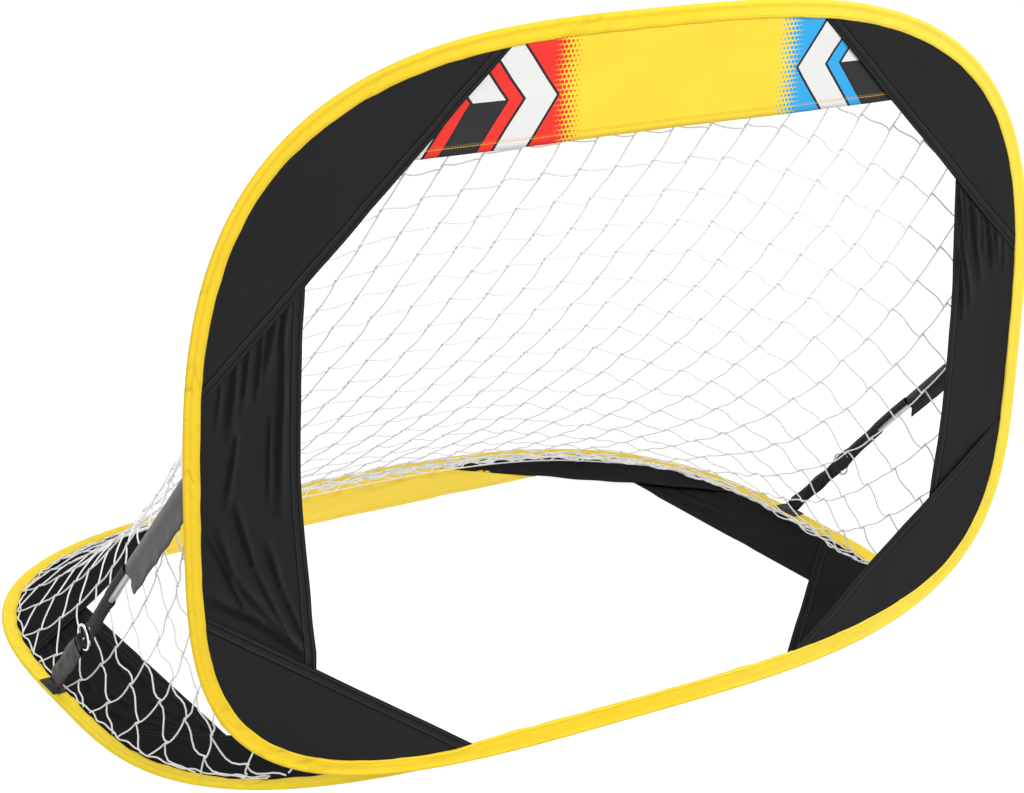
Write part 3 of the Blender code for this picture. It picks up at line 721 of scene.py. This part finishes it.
low = lying(low_u, low_v, edge_u * 0 + OVER_WIRE)
top_u, top_v = hoop(columns_at, NET_INSET - drawn_in("front", edge))[0].T
high = standing(top_u, top_v, edge_u * 0 + BEHIND_SLEEVE)
drop = high[:, 2] - low[:, 2]
side_share = edge_u / (GOAL_WIDTH / 2)
pull = np.where(side_share > 0, PULL_RIGHT, PULL_LEFT) - PULL_MIDDLE
pull = (PULL_MIDDLE + pull * np.abs(side_share) ** 2.7) * np.minimum(1, drop / 0.3)
back = SAG_BACK - SAG_BACK_LOSS * np.maximum(side_share, 0) ** 2
lift = SAG_UP - SAG_UP_LOSS * np.maximum(side_share, 0) ** 2
knee = np.stack([edge_u + pull, high[:, 1] + back * drop, low[:, 2] + lift * drop], 1)
t = np.linspace(0, 1, ROWS + 1)[None, :, None]
table = (1 - t) ** 2 * high[:, None] + 2 * t * (1 - t) * knee[:, None] + t ** 2 * low[:, None]
gone = np.linalg.norm(np.diff(table, axis=1), axis=2)
gone = np.concatenate([np.zeros((COLUMNS + 1, 1)), np.cumsum(gone, axis=1)], 1)
lengths = gone[:, -1]


def on_net(s, w):
    """Points of the hung surface at distances s along the hoop and w down from the front sleeve."""
    found = []
    for a, b in zip(np.atleast_1d(s), np.atleast_1d(w)):
        column = min(max((a + reach_low) / (2 * reach_low) * COLUMNS, 0), COLUMNS - 0.001)
        i = int(column)
        near, far = [[np.interp(b, gone[j], table[j, :, axis]) for axis in range(3)] for j in (i, i + 1)]
        found.append(np.array(near) + (column - i) * (np.array(far) - near))
    return np.array(found)


def on_table(place):
    """The point at a (column, row) place of the table, carried straight on past its two ends."""
    a = min(max(place[0], 0.0), COLUMNS - 0.001)
    i = int(a)
    j = min(max(math.floor(place[1]), 0), ROWS - 1)
    fa, fb = a - i, place[1] - j
    return ((1 - fa) * ((1 - fb) * table[i, j] + fb * table[i, j + 1])
            + fa * ((1 - fb) * table[i + 1, j] + fb * table[i + 1, j + 1]))


def solve(misses, place):
    """The place near a first one where the misses vanish, by least-squares steps."""
    place = np.array(place, float)
    nudge = 0.05
    for _ in range(12):
        miss = misses(on_table(place))
        slopes = [(misses(on_table(place + move)) - miss) / nudge for move in ((nudge, 0), (0, nudge))]
        step = np.linalg.lstsq(np.stack(slopes, 1), -miss, rcond=1e-3)[0]
        place = place + np.clip(step, -4, 4)
        place[0] = min(max(place[0], 0), COLUMNS)
        if np.abs(step).max() < 1e-3:
            break
    return place


def place_of(s, w):
    """The (column, row) place at distances s along the hoop and w down."""
    column = (s / reach_low + 1) * HALF_WAY
    return np.array([column, np.interp(w, gone[int(column)], np.arange(ROWS + 1))])


def straight_on(here, before):
    """The next knot of a straight line of bars."""
    point, last = on_table(here), on_table(before)
    aim = point + (point - last) / np.linalg.norm(point - last) * BAR
    there = solve(lambda found: found - aim, 2 * here - before)
    return here + (there - here) * BAR / max(np.linalg.norm(on_table(there) - point), 1e-6)


def level_on(here, way, w):
    """The next knot of a row that keeps a distance w from the standing sleeve, by halving."""
    near, far = here[0], here[0] + way * 30
    for _ in range(30):
        middle = (near + far) / 2
        there = place_of((middle / HALF_WAY - 1) * reach_low, w)
        if np.linalg.norm(on_table(there) - on_table(here)) < BAR:
            near = middle
        else:
            far = middle
    return there


def hangs(key):
    """Whether a knot is known and lies on the surface or just past its two ends."""
    return key in places and 0.5 < places[key][0] < COLUMNS - 0.5 and -6 < places[key][1] < ROWS + 6


# The lattice grows from one row and one column: every other knot lies one bar from both its
# neighbours. The row keeps level in the middle and runs straight on towards the sides.
ROW = 4
ROW_S = 0.140
ROW_W = 0.363
ROW_LEAN = 0.12
aside, down = math.sin(ROW_LEAN) * BAR, math.cos(ROW_LEAN) * BAR
places = {(0, ROW): place_of(ROW_S, ROW_W), (0, ROW + 1): place_of(ROW_S - aside, ROW_W + down),
          (0, ROW - 1): place_of(ROW_S + aside, ROW_W - down)}
for way in (1, -1):
    m = 0
    while hangs((m, ROW)) and abs(m) < 40:
        s = (places[m, ROW][0] / HALF_WAY - 1) * reach_low
        if -0.22 < s < 0.28:
            turned = min(max((s + way * 0.05 - 0.22) / 0.25, 0), 1)
            sunk = 0.05 * turned * turned * (3 - 2 * turned)
            places[m + way, ROW] = level_on(places[m, ROW], way, ROW_W + sunk)
        else:
            places[m + way, ROW] = straight_on(places[m, ROW], places[m - way, ROW])
        m += way
    n = ROW + way
    while hangs((0, n)) and abs(n) < 40:
        places[0, n + way] = straight_on(places[0, n], places[0, n - way])
        n += way
for way in (1, -1):
    for rise in (1, -1):
        for m in range(way, 36 * way, way):
            for n in range(ROW + rise, ROW + 24 * rise, rise):
                if not hangs((m - way, n)):
                    continue
                beside = places[m - way, n]
                if not (hangs((m, n - rise)) and hangs((m - way, n - rise))):
                    if hangs((m - 2 * way, n)):
                        places[m, n] = straight_on(beside, places[m - 2 * way, n])
                    continue
                above = places[m, n - rise]
                a, b = on_table(beside), on_table(above)
                if not 0.35 * BAR < np.linalg.norm(a - b) < 1.9 * BAR:
                    continue

                def bars(point):
                    return np.array([np.linalg.norm(point - a) - BAR, np.linalg.norm(point - b) - BAR])

                found = solve(bars, beside + above - places[m - way, n - rise])
                if np.abs(bars(on_table(found))).max() < 0.004:
                    places[m, n] = found

# Where the knots hang: distances along the hoop and down, each a little out of true
knots = {}
for (m, n), (a, b) in places.items():
    i, j = int(min(a, COLUMNS)), min(max(math.floor(b), 0), ROWS - 1)
    w = gone[i, j] + (b - j) * (gone[i, j + 1] - gone[i, j])
    knots[m, n] = ((a / HALF_WAY - 1) * reach_low + 0.0022 * math.sin(m * 12.99 + n * 78.23),
                   w + 0.0022 * math.sin(m * 39.35 + n * 11.14))


def inside(s, w):
    """Whether a place lies within the net's border."""
    return abs(s) < reach_low and 0 < w < float(np.interp(s, columns_at, lengths))


def border(here, there):
    """Where a strand that leaves the net crosses its border, by halving."""
    a, b = np.array(here), np.array(there)
    for _ in range(22):
        middle = (a + b) / 2
        if inside(*middle):
            a = middle
        else:
            b = middle
    return tuple(a)


# A strand to the right leaves from a knot's upper end and arrives at the next one's lower end
strands = []
for (m, n), (s, w) in knots.items():
    for step, away in (((1, 0), -KNOT_HALF), ((0, 1), KNOT_HALF)):
        here = (s, w + away)
        for way in (1, -1):
            onward = knots.get((m + way * step[0], n + way * step[1]))
            behind = knots.get((m - way * step[0], n - way * step[1]))
            if onward is None and behind is not None and inside(s, w):
                # The lattice ends here, so the strand runs straight on to the border
                start = (s, w + way * away)
                there = (2 * s - behind[0], 2 * w - behind[1] - way * away)
                if not inside(*there) and inside(*start):
                    strands.append((start, border(start, there)))
        if (m + step[0], n + step[1]) not in knots:
            continue
        s_next, w_next = knots[m + step[0], n + step[1]]
        there = (s_next, w_next - away)
        if inside(*here) and inside(*there):
            strands.append((here, there))
        elif inside(*here):
            strands.append((here, border(here, there)))
        elif inside(*there):
            strands.append((border(there, here), there))

# The cords also glow faintly: painted light
net_cord, shader = plain_paint("net_cord", NET_WHITE, 0.75,
                               {"Emission Color": (1, 1, 1, 1), "Emission Strength": 0.06})
tree = net_cord.node_tree
coordinates = tree.nodes.new("ShaderNodeTexCoord")
twist = tree.nodes.new("ShaderNodeTexWave")
twist.inputs["Scale"].default_value = 420
twist.bands_direction = "DIAGONAL"
tree.links.new(coordinates.outputs["Object"], twist.inputs["Vector"])
raised_by(shader, Value(twist.outputs["Fac"]) * 0.00025)


def tubes(name, lines, lumps):
    """Round cords along polylines, and thicker short ones for the knots, as one object."""
    verts, faces = [], []
    for line, radii in [(line, [CORD_RADIUS] * len(line)) for line in lines] + [
            (lump, KNOT_RADII) for lump in lumps]:
        line = np.asarray(line)
        tangent = np.gradient(line, axis=0)
        tangent /= np.linalg.norm(tangent, axis=1, keepdims=True) + 1e-12
        first = np.cross(tangent, (0.31, 0.22, 0.92))
        first /= np.linalg.norm(first, axis=1, keepdims=True) + 1e-12
        second = np.cross(tangent, first)
        start = len(verts)
        for k in range(len(line)):
            for i in range(CORD_SIDES):
                a = 2 * math.pi * i / CORD_SIDES
                verts.append(line[k] + radii[k] * (math.cos(a) * first[k] + math.sin(a) * second[k]))
        last = start + (len(line) - 1) * CORD_SIDES
        for ring in range(start, last, CORD_SIDES):
            for i in range(CORD_SIDES):
                j = (i + 1) % CORD_SIDES
                faces.append((ring + i, ring + j, ring + CORD_SIDES + j, ring + CORD_SIDES + i))
        faces.append(tuple(range(start, start + CORD_SIDES)))
        faces.append(tuple(range(last + CORD_SIDES - 1, last - 1, -1)))
    return make_mesh(name, np.array(verts), faces, net_cord)


levels_v = np.geomspace(LOW_END, TOP_LEVEL, LEVELS)
cords = {k: [] for k in range(LEVELS)}
lumps = {k: [] for k in range(LEVELS)}


def level_of(s):
    """The highest level that isn't above the sleeve where a cord hangs from it."""
    (u, v), _ = hoop(s, NET_INSET)
    return max(0, int(np.searchsorted(levels_v, v)) - 1)


for number, (here, there) in enumerate(strands):
    t = np.linspace(0, 1, STRAND_POINTS)
    line = on_net(here[0] + (there[0] - here[0]) * t, here[1] + (there[1] - here[1]) * t)
    share = np.linalg.norm(line[-1] - line[0]) / BAR
    loose = 1 + 0.7 * np.clip((-0.75 - here[0]) / 0.2, 0, 1)
    bow = np.sin(t * math.pi) * 0.0026 * (0.7 + 0.7 * math.sin(number * 2.399)) * share * loose
    curl = np.sin(t * 2 * math.pi) * 0.0016 * math.sin(number * 1.7) * share * loose
    line[:, 2] += (curl - bow) * np.clip((line[:, 2] - 0.006) / 0.02, 0, 1)
    line[:, 0] += curl
    cords[level_of((here[0] + there[0]) / 2)].append(line)
for s, w in knots.values():
    if inside(s, w - KNOT_HALF) and inside(s, w + KNOT_HALF):
        lumps[level_of(s)].append(on_net([s, s, s], [w - KNOT_HALF, w, w + KNOT_HALF]))
filled = [k for k in range(LEVELS) if cords[k]]
for k in filled:
    piece = tubes(f"net_cords_{k:02d}", cords[k], lumps[k])
    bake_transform(piece)
    if k == filled[0]:
        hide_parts("net")


# Border cords: one runs along each sleeve's inner edge and laces the net to it. At the back of
# the lying hoop the loops are longer, and a second cord runs through their ends.
LOOP_DEPTH = 0.004
REAR_LOOPS = 0.028              # by how much the loops behind are longer
around = np.linspace(-reach_low, reach_low, STATIONS)
for prefix, place, lift in (("front", standing, 0.0056), ("base", lying, 0.0030)):
    points, inward = hoop(around, NET_INSET + 0.0015)
    points = points - inward * drawn_in(prefix, points)[:, None]
    wave = np.abs(np.sin(around * math.pi / LACING))
    rear = step_up((points[:, 1] - 0.62) / 0.14) * step_up((points[:, 0] + 0.28) / 0.15)
    rear = rear * (0.0 if prefix == "front" else 1.0)
    depth = LOOP_DEPTH + REAR_LOOPS * rear
    laced = points + inward * (depth * wave)[:, None]
    lift = lift + 0.002 * rear
    lines = [place(laced[:, 0], laced[:, 1], lift + 0.0012 * np.sin(around * 2 * math.pi / 0.030))]
    if prefix == "base":
        tied = (points + inward * depth[:, None])[rear > 0.5]
        lines.append(place(tied[:, 0], tied[:, 1], 0.005 + tied[:, 0] * 0))
    cord = tubes("net_border_" + prefix, lines, [])
    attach(cord, prefix + "_frame")


# Seam tape: a narrow strip of the yellow cloth, sewn to the bottom runs of both sleeves as the
# goal's hinge. It keeps the part's own solid.
tape_cloth, shader, _, _, height = cloth("seam_tape_cloth", STANDING_YELLOW, 0.55)
raised_by(shader, height)
repaint("bottom_seam_tape", tape_cloth)


# Stay rods: a round grey rod on each side, which keeps the standing hoop upright. It runs from
# that hoop down and back at 45 degrees, and its ends are slightly chamfered.
ROD_GREY = (0.62, 0.62, 0.60)
ROD_RADIUS = 0.0045
ROD_END_RADIUS = 0.004
ROD_START = 0.012               # from the upper joint
ROD_END = 0.405
CHAMFER = 0.0005
SLOPE = math.sqrt(0.5)
DOWN = np.array([0, SLOPE, -SLOPE])
ACROSS = np.array([0, SLOPE, SLOPE])
SIDES = (("left", -1), ("right", 1))
joints = {joint["name"]: np.array(joint["pos_m"]) for joint in frame["joints"]}
turn = np.linspace(0, 2 * math.pi, 25)[:-1]


def upper(side, s, w, n, joint="_upper_stay_swing", way=DOWN):
    """Places from a stay's upper joint: s down its line, w across it and n outwards."""
    s, w, n = np.broadcast_arrays(s, w, n)
    out = np.array([dict(SIDES)[side], 0.0, 0.0])
    return joints[side + joint] + s[..., None] * way + w[..., None] * ACROSS + n[..., None] * out


def lower(side, s, w, n):
    """Places from a stay's lower joint: s up its line, w across it and n outwards."""
    return upper(side, s, w, n, "_lower_strap_swing", -DOWN)


rod_paint, _ = plain_paint("stay_rod", ROD_GREY, 0.35, {"Coat Weight": 0.3})
s = np.array([ROD_START, ROD_START + CHAMFER, ROD_END - CHAMFER, ROD_END])
radius = np.array([ROD_END_RADIUS, ROD_RADIUS, ROD_RADIUS, ROD_END_RADIUS])[:, None]
for side, _ in SIDES:
    rings = upper(side, s[:, None], radius * np.cos(turn), radius * np.sin(turn))
    rod = sweep_mesh(side + "_stay_rod_round", rings, rod_paint, False)
    dress(rod, side + "_upper_stay", side + "_stay_rod")


# Stay pockets: black cloth wrapped round the upper end of each rod, whose two legs are sewn
# together into a fin with two rows of stitches. The left fin is the wider one.
POCKET_BLACK = (0.030, 0.030, 0.031)
POCKET_INNER = (0.016, 0.016, 0.017)
POCKET_OUTER = (0.105, 0.105, 0.105)
POCKET_THREAD = (0.05, 0.05, 0.05)
POCKET_LENGTH = 0.238
POCKET_ROUND = 0.0056
FIN = np.array([-0.0245, -0.020, -0.015, -0.010])
FIN_SHARE = {"left": 1.0, "right": 0.72}
pocket_cloth, shader, along, side_on, height = cloth("pocket_cloth", POCKET_BLACK, 0.42)
reach = abs(side_on)
row = stitches(along, reach, 0.0210).or_more(stitches(along, reach, 0.0235))
colour = mixed(POCKET_INNER, POCKET_OUTER, (side_on * -400.0 + 0.5).clamped())
dyed(shader, mixed(colour, POCKET_THREAD, row), 0.25, 40)
raised_by(shader, height - row * 0.0003)
arc = [math.radians(a) for a in np.linspace(-140, 140, 15)]
share = np.linspace(0.0, 1.0, 60)
for side, sign in SIDES:
    fin = FIN * FIN_SHARE[side]
    w = np.concatenate([fin, (POCKET_ROUND + 0.0050 * np.clip(np.cos(arc), 0, 1)) * np.cos(arc), fin[::-1]])
    n = np.concatenate([-0.0007 + fin * 0, POCKET_ROUND * np.sin(arc), 0.0007 + fin * 0])
    reach = np.concatenate([-fin, np.linspace(0.006, -0.006, 15), fin[::-1], [0]])
    end = POCKET_LENGTH + 0.010 * np.clip((-w - 0.008) / 0.012, 0, 1)
    begin = np.maximum(0.0, -w - 0.0055)
    s = begin[None, :] + share[:, None] * (end - begin)[None, :]
    where = np.stack([s, np.broadcast_to(w, s.shape)], -1)
    crumple = rough(where, (40, 60), 3 + sign) * 0.0022 + rough(where, (90, 120), 8 + sign) * 0.0009
    loose = np.clip((-w - 0.004) / 0.012, 0, 1)
    wavy = rough(where, (30, 5), 12 + sign) * 0.0015 * loose
    rings = upper(side, s, w + wavy, n + crumple * (0.25 + loose))
    pocket = sweep_mesh(side + "_stay_pocket_cloth", rings, pocket_cloth, False, share * POCKET_LENGTH,
                        reach, loop=False)
    thicken(pocket, PANEL_SKIN)
    dress(pocket, side + "_upper_stay", side + "_stay_pocket")


# Stay straps: black webbing that hugs the upper side of each rod, from the pocket to the end
# pocket. It is sewn to both.
WEB_BLACK = (0.018, 0.018, 0.019)
STRAP_START = 0.2385            # from the upper joint
STRAP_END = 0.3185
STRAP_SWAY = 0.0006
# The strap's section, first along the rod and then back over the outside
INNER_LINE = ((-0.0006, 0.0054), (0.0030, 0.0052), (0.0052, 0.0030), (0.0052, -0.0030),
              (0.0030, -0.0052), (-0.0006, -0.0054))
OUTER_LINE = ((-0.0006, -0.0068), (0.0050, -0.0070), (0.0100, -0.0048), (0.0100, 0.0048),
              (0.0050, 0.0070), (-0.0006, 0.0068))
webbing, shader, _, _, height = cloth("webbing", WEB_BLACK, 0.65, 400)
raised_by(shader, height * 6.0)
s = np.linspace(STRAP_START, STRAP_END, 16)
sway = np.sin(np.linspace(0, math.pi, 16)) * STRAP_SWAY
for side, _ in SIDES:
    rings = np.stack([upper(side, s, w + sway, n) for w, n in INNER_LINE + OUTER_LINE], 1)
    strap = sweep_mesh(side + "_stay_strap_web", rings, webbing, False, s, np.linspace(0, 0.040, 13))
    dress(strap, side + "_upper_stay", side + "_stay_strap")


# Stay end pockets: a cup of black webbing over each rod's lower end, which narrows to a flat tab
# that is folded round the ring and sewn down. Its section is given at ten places.
s = np.array([0.318, 0.322, 0.340, 0.370, 0.396, 0.408, 0.414, 0.420, 0.430, 0.438])
w_half = np.array([0.0080, 0.0086, 0.0084, 0.0086, 0.0092, 0.0106, 0.0112, 0.0112, 0.0104, 0.0088])
w_lift = np.array([0.0026, 0.0026, 0.0024, 0.0016, 0.0006, 0.0000, 0.0000, 0.0000, 0.0000, 0.0000])
n_half = np.array([0.0064, 0.0068, 0.0062, 0.0064, 0.0060, 0.0030, 0.0018, 0.0016, 0.0016, 0.0008])
where = np.stack(np.broadcast_arrays(s[:, None], turn[None, :]), -1)
for side, sign in SIDES:
    lump = 1 + rough(where, (60, 1.3), 5 + sign) * 0.25
    rings = upper(side, s[:, None], w_lift[:, None] + w_half[:, None] * np.cos(turn) * lump,
                  n_half[:, None] * np.sin(turn) * lump)
    cup = sweep_mesh(side + "_stay_end_pocket_cloth", rings, webbing, False, s, np.linspace(0, 0.04, 25))
    dress(cup, side + "_upper_stay", side + "_stay_end_pocket")


# Stay rings: a round ring of bright plated steel wire on each side, which links the end pocket
# to the lower strap.
RING_STEEL = (0.78, 0.78, 0.79)
RING_RADIUS = 0.01525
RING_WIRE = 0.00175
RING_AT = 0.432                 # from the upper joint to the ring's middle
ring_steel, _ = plain_paint("ring_metal", RING_STEEL, 0.14, {"Metallic": 1.0})
ring_turn = np.linspace(0, 2 * math.pi, 49)[:-1, None]
tube = np.linspace(0, 2 * math.pi, 13)[None, :-1]
big = RING_RADIUS + RING_WIRE * np.cos(tube)
ring_s = {}
for side, _ in SIDES:
    apart = joints[side + "_lower_strap_swing"] - joints[side + "_upper_stay_swing"]
    ring_s[side] = np.linalg.norm(apart[1:]) - RING_AT
    rings = lower(side, ring_s[side] + big * np.cos(ring_turn), big * np.sin(ring_turn),
                  RING_WIRE * np.sin(tube))
    ring = sweep_mesh(side + "_stay_ring_round", rings, ring_steel, True)
    dress(ring, side + "_lower_strap", side + "_stay_ring")


# Lower straps: black webbing on each side, doubled from the lying hoop's sleeve to its loop
# round the ring.
WEB_SKIN = 0.0009
WEB_HALF = 0.009
LOOP_START = 0.014              # below the lowest place of the ring's middle line
LOOP_HALF = 0.0034
w_edge = np.linspace(-WEB_HALF, WEB_HALF, 7)
loop_turn = [math.radians(a) for a in np.linspace(-120, 120, 13)]
bend = np.sqrt(np.clip(RING_RADIUS ** 2 - w_edge ** 2, 0, 1)) - RING_RADIUS
for side, _ in SIDES:
    back = ring_s[side] - RING_RADIUS
    leg = [0.001, 0.03, 0.08, back - LOOP_START]
    s = np.concatenate([leg, back + LOOP_HALF * np.cos(loop_turn), leg[::-1]])
    n = np.concatenate([[-0.0006] * 4, 0.0030 * np.sin(loop_turn), [0.0006] * 4])
    foot = np.clip(1 - s / 0.02, 0, 1)
    at_ring = np.clip((s - back + LOOP_START) / LOOP_START, 0, 1)
    s = s[:, None] - foot[:, None] * (w_edge[None, :] - 0.003) - at_ring[:, None] * bend[None, :]
    rings = lower(side, s, w_edge[None, :], n[:, None])
    run = np.concatenate([[0], np.cumsum(np.linalg.norm(np.diff(rings[:, 3], axis=0), axis=1))])
    strap = sweep_mesh(side + "_stay_lower_web", rings, webbing, False, run,
                       np.concatenate([w_edge, [0]]), loop=False)
    thicken(strap, WEB_SKIN)
    dress(strap, side + "_lower_strap", side + "_stay_lower_strap")


# Lower sleeves: a tube of black cloth pushed over each lower strap, crumpled along its length.
# The left one is the wider.
SLEEVE_HALF = {"left": 0.0142, "right": 0.0100}
for side, sign in SIDES:
    s = np.linspace(0.014, ring_s[side] - RING_RADIUS - 0.012, 34)
    where = np.stack(np.broadcast_arrays(s[:, None], turn[None, :]), -1)
    crush = rough(where, (55, 1.4), 9 + sign) * 0.0016 + rough(where, (120, 3.0), 4 + sign) * 0.0008
    w_half = (SLEEVE_HALF[side] + 0.0012 * np.sin(s * 90))[:, None]
    rings = lower(side, s[:, None] + crush, w_half * np.cos(turn), (0.0030 + crush) * np.sin(turn))
    cover = sweep_mesh(side + "_stay_lower_sleeve_cloth", rings, pocket_cloth, False, s,
                       np.linspace(0.03, 0.08, 25))
    dress(cover, side + "_lower_strap", side + "_stay_lower_sleeve")


# Tabs: short loops of the same webbing, sewn to the two hoops' sleeves, that hold the ends of
# each stay. They keep the part's own solids.
for side, _ in SIDES:
    repaint(side + "_stay_front_tab", webbing)
    repaint(side + "_stay_base_tab", webbing)


# Studio: a white floor that takes faint shadows, a white surround and three soft lamps. The
# floor and the surround look brighter to the camera than they are as lights.
FLOOR_SIZE = 40
FLOOR_Z = -0.0006               # just clear of the lying hoop's cloth
FLOOR_GLOW = 0.92
FLOOR_BOUNCE = 0.35
FLOOR_GREY = (0.20, 0.20, 0.20, 1)
SURROUND_GLOW = 1.0
SURROUND_LIGHT = 0.50
LAMP_AIM = Vector((0, 0, 0.3))


def background_rays(tree):
    """1 for a ray that shows the background: straight, mirrored or through something clear."""
    path = tree.nodes.new("ShaderNodeLightPath")
    shows = Value(path.outputs["Is Camera Ray"])
    for kind in ("Is Glossy Ray", "Is Transmission Ray"):
        shows = shows.or_more(Value(path.outputs[kind]))
    return shows.socket


bpy.ops.mesh.primitive_plane_add(size=FLOOR_SIZE, location=(0, 0, FLOOR_Z))
floor = bpy.context.object
floor.name = "floor"
floor_paint = bpy.data.materials.new("floor")
floor_paint.use_nodes = True
nodes = floor_paint.node_tree.nodes
links = floor_paint.node_tree.links
nodes.clear()
shade = nodes.new("ShaderNodeBsdfDiffuse")
shade.inputs["Color"].default_value = FLOOR_GREY
glow = nodes.new("ShaderNodeEmission")
strength = nodes.new("ShaderNodeMix")
strength.inputs["A"].default_value = FLOOR_BOUNCE
strength.inputs["B"].default_value = FLOOR_GLOW
links.new(background_rays(floor_paint.node_tree), strength.inputs["Factor"])
links.new(strength.outputs["Result"], glow.inputs["Strength"])
both = nodes.new("ShaderNodeAddShader")
links.new(shade.outputs[0], both.inputs[0])
links.new(glow.outputs[0], both.inputs[1])
links.new(both.outputs[0], nodes.new("ShaderNodeOutputMaterial").inputs["Surface"])
floor.data.materials.append(floor_paint)

world = bpy.data.worlds.new("studio")
bpy.context.scene.world = world
world.use_nodes = True
nodes = world.node_tree.nodes
links = world.node_tree.links
lit = nodes["Background"]
seen = nodes.new("ShaderNodeBackground")
for shader, strength in ((lit, SURROUND_LIGHT), (seen, SURROUND_GLOW)):
    shader.inputs["Color"].default_value = (1, 1, 1, 1)
    shader.inputs["Strength"].default_value = strength
mix = nodes.new("ShaderNodeMixShader")
links.new(background_rays(world.node_tree), mix.inputs["Fac"])
links.new(lit.outputs[0], mix.inputs[1])
links.new(seen.outputs[0], mix.inputs[2])
links.new(mix.outputs[0], nodes["World Output"].inputs["Surface"])
bpy.context.scene.view_settings.view_transform = "Standard"

for name, place, width, power in (("key_light", (1.2, -3.6, 2.6), 2.4, 110),
                                  ("fill_light", (-3.2, -2.2, 1.6), 2.4, 45),
                                  ("top_light", (0.4, 1.6, 3.6), 2.6, 60)):
    lamp = bpy.data.objects.new(name, bpy.data.lights.new(name, "AREA"))
    bpy.context.scene.collection.objects.link(lamp)
    lamp.location = place
    lamp.rotation_euler = (LAMP_AIM - lamp.location).to_track_quat("-Z", "Y").to_euler()
    lamp.data.size = width
    lamp.data.energy = power


# Camera: at the photograph's angle, with the length of lens and the slight roll that put the
# goal's outline where it is in the photograph.
CAMERA_PLACE = (-1.5488, -2.5178, 1.3248)
CAMERA_AZIMUTH = math.radians(33.141)
CAMERA_ELEVATION = math.radians(19.358)
CAMERA_ROLL = math.radians(1.373)
CAMERA_LENS = 81.83             # millimetres, for a picture 36 mm wide
camera = bpy.data.objects.new("camera", bpy.data.cameras.new("camera"))
bpy.context.scene.collection.objects.link(camera)
bpy.context.scene.camera = camera
forward = Vector((math.sin(CAMERA_AZIMUTH) * math.cos(CAMERA_ELEVATION),
                  math.cos(CAMERA_AZIMUTH) * math.cos(CAMERA_ELEVATION),
                  -math.sin(CAMERA_ELEVATION)))
level = forward.cross(Vector((0, 0, 1))).normalized()
upward = level.cross(forward)
right = level * math.cos(CAMERA_ROLL) + upward * math.sin(CAMERA_ROLL)
top = upward * math.cos(CAMERA_ROLL) - level * math.sin(CAMERA_ROLL)
turned = Matrix((right, top, -forward)).transposed()
camera.matrix_world = Matrix.Translation(CAMERA_PLACE) @ turned.to_4x4()
camera.data.sensor_width = 36
camera.data.lens = CAMERA_LENS
camera.data.clip_start = 0.05
camera.data.clip_end = 60
